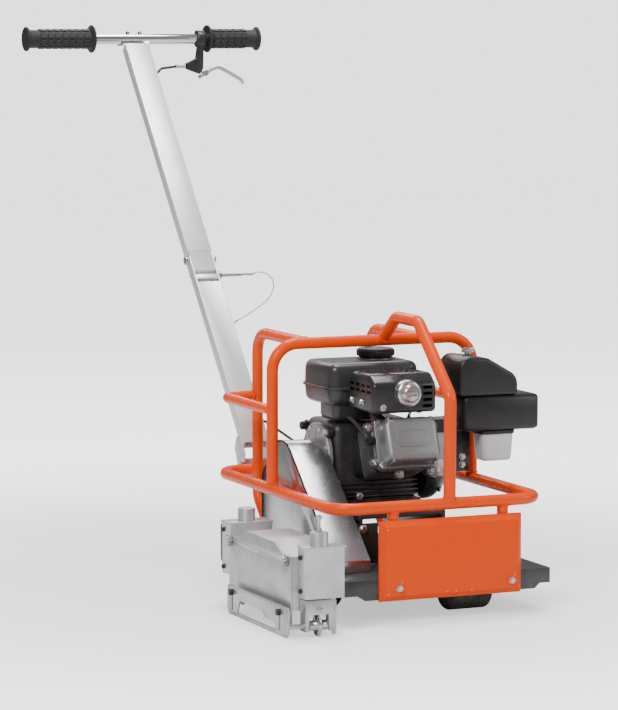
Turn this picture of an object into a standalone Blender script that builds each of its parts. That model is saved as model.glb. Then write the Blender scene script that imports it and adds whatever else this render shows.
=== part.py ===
"""Walk-behind joint saw with a side blade block, a small petrol engine and a folding handle.

Metres, +Z up, +X to the machine's right, +Y to the operator. The machine's own datum is the
middle of the lower guard ring in X, the front wheel's contact line in Y and the floor in Z;
every piece is placed by at(), which shifts that datum so the whole object stands centred.
"""
import math

import bpy
import bmesh
from mathutils import Matrix, Vector

# ---- driving dimensions -------------------------------------------------------------------
GAP = 0.0003                       # between touching pieces
TUBE_R = 0.0105                    # guard frame tube
RING_X = 0.1975                    # lower ring centreline, half width
RING_MID = -0.0055                 # and its middle
RING_FRONT = -0.064
RING_REAR = 0.475
RING_Z = 0.200
RING_BEND = 0.045
HOOP_Y = 0.215
HOOP_Z = 0.460
REAR_TUBE_X = (-0.135, 0.094)      # the two rear legs
REAR_TUBE_Y = 0.449
MID_LOOP_Z = 0.342

BASE_X = (-0.190, 0.206)           # chassis pan, left and right edges
BASE_FRONT = -0.072
BASE_REAR = 0.400
BASE_TOP = 0.0765
SHEET = 0.003

WHEEL_R = 0.036
WHEEL_BORE = 0.0062
AXLE_R = 0.0060
FRONT_AXLE_Y = 0.005
LEFT_AXLE_Y = 0.116
REAR_AXLE_Y = 0.330

ARBOR_Y = 0.055                    # blade axis
ARBOR_Z = 0.080
ARBOR_R = 0.0100
BLADE_X = -0.275
BLADE_R = 0.0635
CRANK_Y = 0.236                    # engine output axis
CRANK_Z = 0.233
PULLEY_X = -0.150
ENGINE_PULLEY_R = 0.036
ARBOR_PULLEY_R = 0.027
BELT_T = 0.0045

BLOCK_OUT = -0.3055                # blade block housing, outer and inner walls
BLOCK_IN = -0.226
BLOCK_FRONT = -0.118
BLOCK_REAR = 0.159
DOOR_T = 0.0030
SKID_X = -0.3200
SKID_T = 0.0030
ROLLER_Y = -0.138
ROLLER_Z = 0.0195

CYL_TILT = math.radians(20)

POST_X = -0.125
POST_W = 0.050
POST_D = 0.022
POST_FOOT = (0.4835, 0.245)         # Y and Z of the handle post's lower end
POST_TOP = (1.122, 0.984)
FOLD_S = 0.431                      # distance up the post to the fold bolt
PIN_S = 0.394                       # and to the lock pin
BAR_R = 0.0110
BAR_X = -0.104
BAR_LENGTH = 0.502
BAR_Y, BAR_Z = 1.133, 0.997
GRIP_LENGTH = 0.140

CLEANER_RIGHT = 0.262
X_MIN = BAR_X - BAR_LENGTH / 2
X_MAX = CLEANER_RIGHT
Y_MIN = ROLLER_Y - 0.0193
Y_MAX = BAR_Y + 0.028
SHIFT = Vector((-(X_MIN + X_MAX) / 2, -(Y_MIN + Y_MAX) / 2, 0))

# ---- scene helpers ------------------------------------------------------------------------
for old in list(bpy.data.objects):
    bpy.data.objects.remove(old)

PARTS = bpy.data.collections.new("joint_saw")
CUTTERS = bpy.data.collections.new("cutters")
bpy.context.scene.collection.children.link(PARTS)
bpy.context.scene.collection.children.link(CUTTERS)


def at(x, y, z):
    """A point of the machine's own datum, in world coordinates."""
    return Vector((x, y, z)) + SHIFT


def material(name, colour, roughness=0.5, metallic=0.0):
    mat = bpy.data.materials.new(name)
    mat.use_nodes = True
    shader = mat.node_tree.nodes["Principled BSDF"]
    shader.inputs["Base Color"].default_value = (*colour, 1)
    shader.inputs["Roughness"].default_value = roughness
    shader.inputs["Metallic"].default_value = metallic
    mat.diffuse_color = (*colour, 1)
    return mat


def add_object(name, mesh, mat, place=(0, 0, 0)):
    """Put a mesh in the parts collection with its origin at a datum point."""
    obj = bpy.data.objects.new(name, mesh)
    obj.location = at(*place)
    obj.data.materials.clear()
    if mat is None:
        CUTTERS.objects.link(obj)
        obj.hide_render = True
        obj.display_type = "WIRE"
    else:
        obj.data.materials.append(mat)
        PARTS.objects.link(obj)
    return obj


def mesh_from(bm, name):
    bmesh.ops.recalc_face_normals(bm, faces=bm.faces)
    mesh = bpy.data.meshes.new(name)
    bm.to_mesh(mesh)
    bm.free()
    return mesh


def prism(name, outline, start, end, mat, axis="X", place=(0, 0, 0)):
    """Extrude a closed outline along an axis; X takes (y, z), Y takes (x, z), Z takes (x, y)."""
    bm = bmesh.new()
    rings = []
    for depth in (start, end):
        if axis == "X":
            rings.append([bm.verts.new((depth, a, b)) for a, b in outline])
        elif axis == "Y":
            rings.append([bm.verts.new((a, depth, b)) for a, b in outline])
        else:
            rings.append([bm.verts.new((a, b, depth)) for a, b in outline])
    bm.faces.new(rings[0])
    bm.faces.new(reversed(rings[1]))
    count = len(outline)
    for i in range(count):
        j = (i + 1) % count
        bm.faces.new((rings[0][i], rings[1][i], rings[1][j], rings[0][j]))
    return add_object(name, mesh_from(bm, name), mat, place)


def block(name, low, high, mat, place=(0, 0, 0)):
    """A box between two corners, given from the piece's origin."""
    outline = [(low[1], low[2]), (high[1], low[2]), (high[1], high[2]), (low[1], high[2])]
    return prism(name, outline, low[0], high[0], mat, "X", place)


def turned(name, profile, mat, axis="Z", place=(0, 0, 0), steps=32):
    """Revolve (radius, height) points about the piece's axis; a ring when no radius is zero."""
    bm = bmesh.new()
    rings = []
    for radius, height in profile:
        if radius == 0:
            rings.append([bm.verts.new((0, 0, height))])
            continue
        angles = [2 * math.pi * i / steps for i in range(steps)]
        rings.append([bm.verts.new((radius * math.cos(a), radius * math.sin(a), height))
                      for a in angles])
    pairs = list(zip(rings, rings[1:]))
    if profile[0][0] > 0 and profile[-1][0] > 0:
        pairs.append((rings[-1], rings[0]))
    for upper, lower in pairs:
        if len(upper) == 1 and len(lower) > 1:
            upper, lower = lower, upper
        if len(lower) == 1 and len(upper) > 1:
            bm.faces.new(upper)
            continue
        for i in range(len(upper)):
            j = (i + 1) % len(upper)
            bm.faces.new((upper[i], lower[i], lower[j], upper[j]))
    bmesh.ops.delete(bm, geom=[v for v in bm.verts if not v.link_faces], context="VERTS")
    obj = add_object(name, mesh_from(bm, name), mat, place)
    if axis == "X":
        obj.rotation_euler = (0, math.pi / 2, 0)
    elif axis == "Y":
        obj.rotation_euler = (-math.pi / 2, 0, 0)
    return obj


def rod(name, radius, start, end, mat, axis="X", place=(0, 0, 0), steps=24):
    """A plain cylinder along an axis from start to end."""
    profile = [(0, end), (radius, end), (radius, start), (0, start)]
    return turned(name, profile, mat, axis, place, steps)


def rounded_path(points, radius, closed=False, steps=6):
    """Replace the corners of a path by arcs."""
    pts = [Vector(p) for p in points]
    count = len(pts)
    path = []
    for i, corner in enumerate(pts):
        if not closed and i in (0, count - 1):
            path.append(corner)
            continue
        before = (pts[i - 1] - corner).normalized()
        after = (pts[(i + 1) % count] - corner).normalized()
        half = before.angle(after) / 2
        cut = radius / math.tan(half)
        centre = corner + (before + after).normalized() * radius / math.sin(half)
        first = corner + before * cut - centre
        last = corner + after * cut - centre
        turn = first.angle(last)
        normal = first.cross(last).normalized()
        for k in range(steps + 1):
            path.append(centre + Matrix.Rotation(turn * k / steps, 3, normal) @ first)
    return path


def tube(name, points, radius, mat, bend=0.03, closed=False, sides=2, place=(0, 0, 0)):
    """A round tube along a path, as a mesh with filled ends."""
    curve = bpy.data.curves.new(name, "CURVE")
    curve.dimensions = "3D"
    curve.bevel_depth = radius
    curve.bevel_resolution = sides
    curve.use_fill_caps = True
    path = rounded_path(points, bend, closed) if bend else [Vector(p) for p in points]
    spline = curve.splines.new("POLY")
    spline.points.add(len(path) - 1)
    for point, value in zip(spline.points, path):
        point.co = (*value, 1)
    spline.use_cyclic_u = closed
    maker = bpy.data.objects.new(name + "_route", curve)
    mesh = bpy.data.meshes.new_from_object(maker)
    bpy.data.objects.remove(maker)
    bm = bmesh.new()
    bm.from_mesh(mesh)
    bmesh.ops.remove_doubles(bm, verts=bm.verts, dist=0.00002)
    bpy.data.meshes.remove(mesh)
    return add_object(name, mesh_from(bm, name), mat, place)


def combine(obj, tool, operation="UNION"):
    """Boolean with a tool that was made with no material."""
    tool.name = obj.name + "_" + tool.name
    modifier = obj.modifiers.new(operation.title(), "BOOLEAN")
    modifier.operation = operation
    modifier.solver = "EXACT"
    modifier.object = tool
    return obj


def cut(obj, tool):
    return combine(obj, tool, "DIFFERENCE")


def bevel(obj, width, segments=2, angle=40):
    modifier = obj.modifiers.new("Bevel", "BEVEL")
    modifier.width = width
    modifier.segments = segments
    modifier.limit_method = "ANGLE"
    modifier.angle_limit = math.radians(angle)
    return obj


def circle(centre, radius, start=0, stop=360, steps=24):
    """Points of an arc in a plane, angles in degrees."""
    points = []
    for i in range(steps + 1):
        angle = math.radians(start + (stop - start) * i / steps)
        points.append((centre[0] + radius * math.cos(angle), centre[1] + radius * math.sin(angle)))
    return points


# ---- materials ----------------------------------------------------------------------------
def orange(name):
    return material(name, (0.82, 0.075, 0.008), 0.35)


def alloy(name):
    return material(name, (0.60, 0.61, 0.63), 0.42, 0.6)


def steel(name):
    return material(name, (0.62, 0.62, 0.62), 0.30, 0.9)


def dark(name):
    return material(name, (0.045, 0.045, 0.05), 0.5)


def rubber(name):
    return material(name, (0.018, 0.018, 0.019), 0.85)


# ---- chassis and wheels -------------------------------------------------------------------
def chassis():
    """Folded pan, open below, with lugs that carry the axles."""
    step = 0.009
    flange = 0.0265
    low = BASE_TOP - flange
    left, right = BASE_X
    base = block("chassis_base", (left, BASE_FRONT, low), (right, BASE_REAR, BASE_TOP),
                 material("chassis_grey", (0.075, 0.078, 0.085), 0.45, 0.3))
    inner = block("hollow", (left + SHEET, BASE_FRONT + SHEET, low - 0.02),
                  (right - SHEET, BASE_REAR - SHEET, BASE_TOP - SHEET), None)
    cut(base, inner)
    apron = [(-0.172, low + 0.004), (-0.150, low - step), (0.176, low - step), (0.190, low + 0.004)]
    combine(base, prism("apron", apron, BASE_FRONT + 0.0002, BASE_FRONT + SHEET - 0.0002, None, "Y"))
    notch = block("pulley_notch", (left - 0.01, 0.020, 0.03), (-0.116, 0.088, 0.09), None)
    cut(base, notch)
    cut(base, block("belt_notch", (-0.164, 0.080, 0.06), (-0.136, 0.121, 0.09), None))
    lugs = [(0.027, FRONT_AXLE_Y), (0.121, FRONT_AXLE_Y), (-0.174, LEFT_AXLE_Y),
            (-0.116, LEFT_AXLE_Y), (0.094, REAR_AXLE_Y),
            (0.184, REAR_AXLE_Y), (-0.098, REAR_AXLE_Y), (-0.1855, REAR_AXLE_Y)]
    for x, y in lugs:
        outline = [(y - 0.012, 0.026), (y + 0.012, 0.026), (y + 0.014, 0.075), (y - 0.014, 0.075)]
        combine(base, prism("lug", outline, x, x + 0.004, None))
    for y in (FRONT_AXLE_Y, LEFT_AXLE_Y, REAR_AXLE_Y):
        cut(base, rod("axle_bore", AXLE_R + 0.00015, -0.187, 0.189, None, "X", (0, y, WHEEL_R)))
    return base


def wheel(name, x_left, x_right, y):
    """Solid roller wheel with rounded shoulders; its origin is on the axle."""
    width = x_right - x_left
    r = WHEEL_R
    profile = [(WHEEL_BORE, width), (r - 0.010, width)]
    profile += [(r - 0.010 + 0.010 * math.sin(a), width - 0.010 + 0.010 * math.cos(a))
                for a in (0.45, 0.9, math.pi / 2)]
    profile += [(h_r, width - h) for h_r, h in reversed(profile)]
    return turned(name, profile, rubber(name + "_rubber"), "X", (x_left, y, WHEEL_R), 32)


def axle(name, x_left, x_right, y):
    profile = [(0, x_right), (AXLE_R, x_right), (AXLE_R, x_left), (0.010, x_left),
               (0.010, x_left - 0.006), (0, x_left - 0.006)]
    return turned(name, profile, steel(name + "_steel"), "X", (0, y, WHEEL_R), 24)


def running_gear():
    chassis()
    wheel("front_right_wheel", 0.0345, 0.1175, FRONT_AXLE_Y)
    wheel("front_left_wheel", -0.166, -0.121, LEFT_AXLE_Y)
    wheel("rear_right_wheel", 0.1025, 0.1795, REAR_AXLE_Y)
    wheel("rear_left_wheel", -0.1795, -0.1025, REAR_AXLE_Y)
    axle("front_right_axle", 0.0265, 0.132, FRONT_AXLE_Y)
    axle("front_left_axle", -0.1745, -0.108, LEFT_AXLE_Y)
    axle("rear_axle", -0.1862, 0.1895, REAR_AXLE_Y)


# ---- guard frame --------------------------------------------------------------------------
def guard_frame():
    """Lower ring with stub posts, upper cage and centre bail, all round tube."""
    front, rear = RING_FRONT, RING_REAR
    left, right = RING_MID - RING_X, RING_MID + RING_X
    ring = tube("guard_ring", [(left, front, RING_Z), (right, front, RING_Z), (right, rear, RING_Z),
                               (left, rear, RING_Z)], TUBE_R, orange("ring_orange"), RING_BEND, True)
    for x in (-0.094, 0.117):
        stub = [(x, front + 0.0025, RING_Z), (x, front + 0.0025, BASE_TOP + GAP)]
        combine(ring, tube("stub", stub, 0.0098, None, 0))

    foot = RING_Z + TUBE_R + GAP
    cage = tube("upper_guard", [(left, HOOP_Y, foot), (left, HOOP_Y, HOOP_Z),
                                (right, HOOP_Y, HOOP_Z), (right, HOOP_Y, foot)],
                TUBE_R, orange("cage_orange"), 0.048)
    for x, leg_x in zip((left, right), REAR_TUBE_X):
        leg = [(leg_x, HOOP_Y + 0.001, HOOP_Z - 0.0007), (leg_x, REAR_TUBE_Y, HOOP_Z - 0.0007),
               (leg_x, REAR_TUBE_Y, 0.155), (leg_x, 0.378, BASE_TOP + GAP + 0.0080)]
        combine(cage, tube("rear_leg", leg, TUBE_R - 0.0003, None, 0.040))
        loop = [(x, HOOP_Y + 0.001, MID_LOOP_Z), (x, REAR_TUBE_Y, MID_LOOP_Z),
                (leg_x, REAR_TUBE_Y, MID_LOOP_Z)]
        combine(cage, tube("side_loop", loop, TUBE_R - 0.0015, None, 0.026))

    x = 0.013
    bail = [(x, front, foot), (x, front - 0.002, 0.386), (x, 0.066, 0.506), (x, 0.156, 0.506),
            (x, HOOP_Y - 0.001, HOOP_Z + 0.003)]
    combine(cage, tube("bail", bail, TUBE_R + 0.0002, None, 0.026))


def front_panel():
    """Folded orange pan that closes the front of the chassis."""
    back = BASE_FRONT - GAP
    outline = [(-0.136, 0.0385), (0.136, 0.0385), (0.136, 0.178), (-0.136, 0.178)]
    pan = prism("front_plate", outline, back - 0.014, back, orange("panel_orange"), "Y",
                (0.010, 0, 0))
    bevel(pan, 0.010, 2)
    hollow = block("pan_hollow", (-0.134, back - 0.0115, 0.0805), (0.134, back + 0.01, 0.176), None,
                   (0.010, 0, 0))
    cut(pan, hollow)


# ---- belt drive ---------------------------------------------------------------------------
def guard_outline(inset=0.0):
    """Side view of the belt guard: round over the engine pulley, sloping down to the arbor."""
    points = [(0.327 - inset, BASE_TOP + GAP), (0.327 - inset, 0.212)]
    points += circle((0.236, 0.224), 0.060 - inset, 60, 133, 8)
    points += [(0.052 + inset * 0.7, 0.140 - inset * 0.8), (0.006 + inset, 0.098 - inset * 0.4),
               (0.006 + inset, BASE_TOP + GAP)]
    return points


def belt_drive():
    mat = material("guard_zinc", (0.72, 0.73, 0.74), 0.28, 0.85)
    guard = prism("belt_guard", guard_outline(), -0.1755, -0.1050, mat)
    hollow = prism("guard_hollow", guard_outline(0.002), -0.1735, -0.09, None)
    cut(guard, hollow)
    cut(guard, block("mouth", (-0.1735, 0.009, 0.07), (-0.09, 0.324, 0.079), None))
    bore = rod("arbor_hole", 0.0125, -0.2, -0.16, None, "X", (0, ARBOR_Y, ARBOR_Z))
    cut(guard, bore)

    def pulley(name, radius, bore_r, y, z, x_to):
        w = 0.010
        profile = [(bore_r, w + 0.004), (0.016, w + 0.004), (0.016, w), (radius + 0.003, w),
                   (radius + 0.003, w - 0.0012), (radius - 0.004, 0.0035), (radius - 0.004, -0.0035),
                   (radius + 0.003, -w + 0.0012), (radius + 0.003, -w), (bore_r, -w)]
        if bore_r == 0:
            profile = [(0, x_to - PULLEY_X), (0.010, x_to - PULLEY_X), (0.010, w)] + profile[3:]
            profile[-1] = (0, -w)
        return turned(name, profile, steel(name + "_steel"), "X", (PULLEY_X, y, z), 30)

    pulley("engine_pulley", ENGINE_PULLEY_R, 0, CRANK_Y, CRANK_Z, -0.1085)
    pulley("arbor_pulley", ARBOR_PULLEY_R, ARBOR_R + 0.0002, ARBOR_Y, ARBOR_Z, -0.13)
    drive_belt()


def drive_belt():
    """Closed V belt lying clear of both pulley grooves."""
    dy, dz = CRANK_Y - ARBOR_Y, CRANK_Z - ARBOR_Z
    span = math.hypot(dy, dz)
    line = math.degrees(math.atan2(dz, dy))
    open_angle = math.degrees(math.acos((ENGINE_PULLEY_R - ARBOR_PULLEY_R) / span))

    def loop(offset):
        big = circle((CRANK_Y, CRANK_Z), ENGINE_PULLEY_R + offset, line - 180 + open_angle,
                     line + 180 - open_angle, 16)
        small = circle((ARBOR_Y, ARBOR_Z), ARBOR_PULLEY_R + offset, line + 180 - open_angle,
                       line + 180 + open_angle, 12)
        return big + small

    belt = prism("drive_belt", loop(BELT_T + 0.0004), PULLEY_X - 0.0050, PULLEY_X + 0.0050,
                 rubber("belt_rubber"))
    cut(belt, prism("belt_inside", loop(0.0008), PULLEY_X - 0.02, PULLEY_X + 0.02, None))
    return belt


# ---- blade block --------------------------------------------------------------------------
def block_outline(inset=0.0, low=0.043):
    """Side view of the blade housing."""
    a = inset
    return [(BLOCK_REAR - a, low), (BLOCK_REAR - a, 0.131 - a), (0.118, 0.132 - a),
            (0.078 - a * 0.3, 0.151 - a), (-0.046 + a * 0.3, 0.150 - a), (-0.083, 0.136 - a),
            (BLOCK_FRONT + a, 0.135 - a), (BLOCK_FRONT + a, low)]


def blade_housing():
    body = prism("block_housing", block_outline(), BLOCK_OUT, BLOCK_IN, alloy("housing_alloy"))
    cut(body, prism("inside", block_outline(0.003, 0.02), BLOCK_OUT - 0.01, BLOCK_IN - 0.003, None))
    combine(body, rod("bearing_tube", 0.0205, -0.2280, -0.1806, None, "X", (0, ARBOR_Y, ARBOR_Z)))
    combine(body, block("arm", (-0.2275, 0.0620, 0.0785), (-0.1975, 0.1500, 0.1050), None))
    combine(body, block("pad", (-0.2000, 0.0905, BASE_TOP + GAP), (-0.1812, 0.1495, 0.0950), None))
    cut(body, rod("shaft_hole", ARBOR_R + 0.0002, -0.24, -0.17, None, "X", (0, ARBOR_Y, ARBOR_Z)))
    for y, z in ((0.1455, 0.121), (-0.1045, 0.123)):
        combine(body, rod("post", 0.0085, BLOCK_OUT + 0.0001, BLOCK_IN - 0.001, None, "X", (0, y, z)))
        combine(body, rod("stud", 0.0026, BLOCK_OUT - 0.0120, BLOCK_OUT + 0.010, None, "X",
                          (0, y, z)))

    outer = BLOCK_OUT - GAP
    lower = [(BLOCK_FRONT, 0.018), (-0.086, 0.018), (-0.078, 0.046), (0.088, 0.046),
             (0.096, 0.018), (0.128, 0.018), (0.136, 0.044), (BLOCK_REAR, 0.044)]
    outline = block_outline(0.0, 0.044)[1:-1] + lower
    door = prism("block_door", outline, outer - DOOR_T, outer, alloy("door_alloy"))
    for y, z in ((0.1455, 0.121), (-0.1045, 0.123)):
        cut(door, rod("stud_hole", 0.0033, -0.33, -0.29, None, "X", (0, y, z)))

    for name, y, z in (("rear_door_nut", 0.1455, 0.121), ("front_door_nut", -0.1045, 0.123)):
        face = outer - DOOR_T - GAP
        nut = rod(name, 0.0060, -0.0075, 0, steel(name + "_steel"), "X", (face, y, z), 20)
        combine(nut, prism("wings", [(-0.004, -0.003), (0.004, -0.003), (0.004, 0.0), (0.013, 0.009),
                                     (0.012, 0.0125), (0.004, 0.007), (-0.004, 0.007),
                                     (-0.012, 0.0125), (-0.013, 0.009), (-0.004, 0.0)],
                           -0.0055, -0.0025, None, "X", (face, y, z)))
        cut(nut, rod("thread", 0.0035, -0.02, 0.02, None, "X", (face, y, z), 16))


def spring_boxes():
    """Sheet boxes in front of and behind the housing; they hold the float springs."""
    front = block("front_spring_box", (-0.2960, -0.150, 0.066), (-0.2240, BLOCK_FRONT - GAP, 0.152),
                  alloy("front_box_alloy"))
    cut(front, block("room", (-0.2945, -0.1485, 0.05), (-0.2260, BLOCK_FRONT - GAP - 0.002, 0.150), None))
    combine(front, block("lid", (-0.2975, -0.1525, 0.1515), (-0.2215, BLOCK_FRONT - GAP, 0.1545), None))
    combine(front, rod("cup", 0.0160, 0.154, 0.177, None, "Z", (-0.2640, -0.1340, 0)))
    cut(front, rod("rod_hole", 0.0040, 0.14, 0.2, None, "Z", (-0.2640, -0.1340, 0)))

    rear = block("rear_spring_box", (-0.306, BLOCK_REAR + GAP, 0.060), (-0.226, 0.200, 0.152),
                 alloy("rear_box_alloy"))
    cut(rear, block("room", (-0.304, BLOCK_REAR + 0.003, 0.05), (-0.228, 0.198, 0.150), None))
    combine(rear, block("lid", (-0.3080, BLOCK_REAR + GAP, 0.1500), (-0.2240, 0.2030, 0.1535), None))
    combine(rear, rod("cap", 0.0155, 0.1525, 0.176, None, "Z", (-0.268, 0.178, 0)))

    flap = block("rear_flap", (-0.300, 0.2035, 0.072), (-0.232, 0.2300, 0.148),
                 material("flap_grey", (0.12, 0.12, 0.12), 0.7))
    bevel(flap, 0.009, 3)


def skid():
    """Floating side plate, its guide screws, and the front yoke that holds the guide roller."""
    outer = SKID_X - SKID_T
    outline = [(0.126, 0.000), (0.134, 0.008), (0.133, 0.047), (0.128, 0.052), (-0.136, 0.052),
               (-0.142, 0.046), (-0.140, 0.010), (-0.130, 0.000)]
    plate = prism("skid_plate", outline, outer, SKID_X, alloy("skid_alloy"))
    window = [(-0.088, 0.007), (-0.080, 0.019), (-0.036, 0.020), (-0.026, 0.030), (0.076, 0.030),
              (0.088, 0.007)]
    cut(plate, prism("window", window, outer - 0.01, SKID_X + 0.01, None))
    for y in (0.110, -0.103):
        slot = [(y - 0.0034, 0.0090), (y + 0.0034, 0.0090), (y + 0.0034, 0.0435), (y - 0.0034, 0.0435)]
        cut(plate, prism("slot", slot, outer - 0.01, SKID_X + 0.01, None))
    combine(plate, rod("cross_axle", 0.0042, SKID_X - 0.001, -0.2400, None, "X",
                       (0, ROLLER_Y, ROLLER_Z)))
    for name, y in (("rear_skid_screw", 0.110), ("front_skid_screw", -0.103)):
        door_face = BLOCK_OUT - GAP - DOOR_T
        head = outer - GAP - door_face
        profile = [(0, -GAP), (0.0030, -GAP), (0.0030, head), (0.0058, head), (0.0058, head - 0.006),
                   (0, head - 0.006)]
        turned(name, profile, steel(name + "_steel"), "X", (door_face, y, 0.0400), 20)

    yoke = block("roller_yoke", (-0.2935, -0.1460, 0.0100), (-0.2440, -0.1225, 0.0635),
                 alloy("yoke_alloy"))
    cut(yoke, block("inside", (-0.2910, -0.1435, -0.01), (-0.2465, -0.1100, 0.061), None))
    cut(yoke, block("window", (-0.2865, -0.1600, -0.01), (-0.2510, -0.1400, 0.0385), None))
    combine(yoke, block("skirt", (-0.2442, -0.1460, 0.004), (-0.2370, -0.1430, 0.062), None))
    cut(yoke, rod("bore", 0.0044, -0.32, -0.2300, None, "X", (0, ROLLER_Y, ROLLER_Z)))
    combine(yoke, rod("lift_rod", 0.0032, 0.060, 0.2060, None, "Z", (-0.2640, -0.1340, 0)))
    combine(yoke, rod("lift_nut", 0.0062, 0.1990, 0.2040, None, "Z", (-0.2640, -0.1340, 0), 6))
    combine(yoke, rod("lift_washer", 0.0070, 0.1773, 0.1790, None, "Z", (-0.2640, -0.1340, 0)))

    x0 = -0.2688
    profile = [(0.0044, 0.0160), (0.0085, 0.0160), (0.0085, 0.0014), (0.0190, 0.0012),
               (0.0193, 0.0), (0.0190, -0.0012), (0.0085, -0.0014), (0.0085, -0.0160),
               (0.0044, -0.0160)]
    turned("guide_roller", profile, steel("guide_roller_steel"), "X", (x0, ROLLER_Y, ROLLER_Z), 28)


def arbor():
    """Blade, its shaft and the clamping nut."""
    profile = [(0, -0.1300), (ARBOR_R, -0.1300), (ARBOR_R, -0.2660), (0.0230, -0.2660),
               (0.0230, -0.2738), (0.0099, -0.2738), (0.0099, -0.2920), (0, -0.2920)]
    turned("arbor_shaft", profile, steel("arbor_steel"), "X", (0, ARBOR_Y, ARBOR_Z), 32)
    turned("saw_blade", [(0.0101, -0.2741), (BLADE_R, -0.2741), (BLADE_R, -0.2763),
                         (0.0101, -0.2763)], steel("blade_steel"), "X", (0, ARBOR_Y, ARBOR_Z), 48)
    nut = turned("arbor_nut", [(0.0101, -0.2766), (0.0230, -0.2766), (0.0230, -0.2820),
                               (0.0140, -0.2820), (0.0140, -0.2900), (0.0101, -0.2900)],
                 dark("arbor_nut_steel"), "X", (0, ARBOR_Y, ARBOR_Z), 24)
    return nut


# ---- engine -------------------------------------------------------------------------------
def along_cylinder(a, b):
    """Datum Y and Z of a point at distance a up the cylinder axis and b above it."""
    y = CRANK_Y - a * math.cos(CYL_TILT) + b * math.sin(CYL_TILT)
    z = CRANK_Z + a * math.sin(CYL_TILT) + b * math.cos(CYL_TILT)
    return y, z


def tilted(points):
    return [along_cylinder(a, b) for a, b in points]


def engine_core():
    mount = block("engine_mount", (-0.092, 0.085, BASE_TOP + GAP), (0.0775, 0.335, 0.1645),
                  alloy("mount_alloy"))
    cut(mount, block("tunnel", (-0.084, 0.080, 0.06), (0.0695, 0.345, 0.1565), None))
    for z in (0.104, 0.118, 0.132, 0.146):
        cut(mount, block("rib_gap", (-0.11, 0.070, z), (-0.089, 0.35, z + 0.007), None))

    body = block("crankcase", (-0.096, 0.188, 0.1655), (0.078, 0.328, 0.316),
                 material("crankcase_grey", (0.10, 0.10, 0.105), 0.5, 0.4))
    bevel(body, 0.014, 2)
    combine(body, prism("side_cover", circle((0.250, 0.250), 0.062, 0, 340, 17), -0.104, -0.095,
                        None))
    combine(body, rod("filler", 0.0085, -0.112, -0.09, None, "X", (0, 0.300, 0.301)))

    fins = [(0.0715, -0.030)]
    for i in range(8):
        a = 0.080 + i * 0.0095
        fins += [(a, -0.030), (a, -0.045), (a + 0.0035, -0.045), (a + 0.0035, -0.030)]
    fins += [(0.1580, -0.030), (0.1580, 0.030)]
    for i in reversed(range(8)):
        a = 0.080 + i * 0.0095
        fins += [(a + 0.0035, 0.030), (a + 0.0035, 0.045), (a, 0.045), (a, 0.030)]
    fins += [(0.0715, 0.030)]
    prism("cylinder", tilted(fins), -0.054, 0.045, material("cylinder_grey", (0.16, 0.16, 0.165),
                                                            0.45, 0.6))
    crank_side = tilted([(0.030, -0.034), (0.0712, -0.034), (0.0712, 0.034), (0.030, 0.034)])
    combine(body, prism("barrel_seat", crank_side, -0.056, 0.047, None))

    cover = tilted([(0.1583, -0.044), (0.1700, -0.046), (0.1900, -0.038), (0.1990, -0.028),
                    (0.2010, 0.024), (0.1930, 0.036), (0.1700, 0.046), (0.1583, 0.044)])
    rocker = prism("rocker_cover", cover, -0.060, 0.053, material("rocker_silver",
                                                                  (0.34, 0.35, 0.36), 0.35, 0.7))
    bevel(rocker, 0.006, 2, 25)


def exhaust():
    box = [(0.064, 0.3445), (0.172, 0.3445), (0.172, 0.402), (0.160, 0.414), (0.086, 0.414),
           (0.064, 0.396)]
    shell = prism("muffler_cover", box, -0.074, 0.049, dark("muffler_cover_grey"))
    bevel(shell, 0.006, 2, 25)
    for i in range(4):
        y = 0.095 + i * 0.020
        cut(shell, block("slot", (-0.08, y, 0.386), (-0.070, y + 0.013, 0.390), None))
    profile = [(0, -0.0325), (0.019, -0.0325), (0.0235, -0.0295), (0.0235, -0.0003), (0, -0.0003)]
    out = turned("exhaust_deflector", [(r, -h) for r, h in profile][::-1],
                 steel("deflector_steel"), "Y", (-0.012, 0.064, 0.381), 28)
    out.rotation_euler = (math.pi / 2, 0, 0)
    cut(out, block("mouth", (-0.022, 0.02, 0.377), (0.000, 0.050, 0.387), None))


def fuel_system():
    tank = block("fuel_tank", (-0.106, 0.1775, 0.346), (0.072, 0.312, 0.424), dark("tank_grey"))
    bevel(tank, 0.014, 3)
    combine(tank, block("seam", (-0.109, 0.1745, 0.377), (0.075, 0.315, 0.3805), None))
    combine(tank, block("sump", (-0.094, 0.190, 0.3195), (-0.010, 0.260, 0.350), None))
    cap = turned("fuel_cap", [(0, 0.018), (0.032, 0.018), (0.035, 0.015), (0.035, 0.004),
                              (0.028, 0.0), (0, 0.0)], dark("cap_black"), "Z",
                 (0.020, 0.262, 0.4243), 36)
    carb = block("carburettor", (0.0455, 0.104, 0.254), (0.098, 0.152, 0.3017),
                 alloy("carburettor_alloy"))
    combine(carb, rod("bowl", 0.019, 0.222, 0.2545, None, "Z", (0.074, 0.128, 0)))
    return tank, cap, carb


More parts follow.
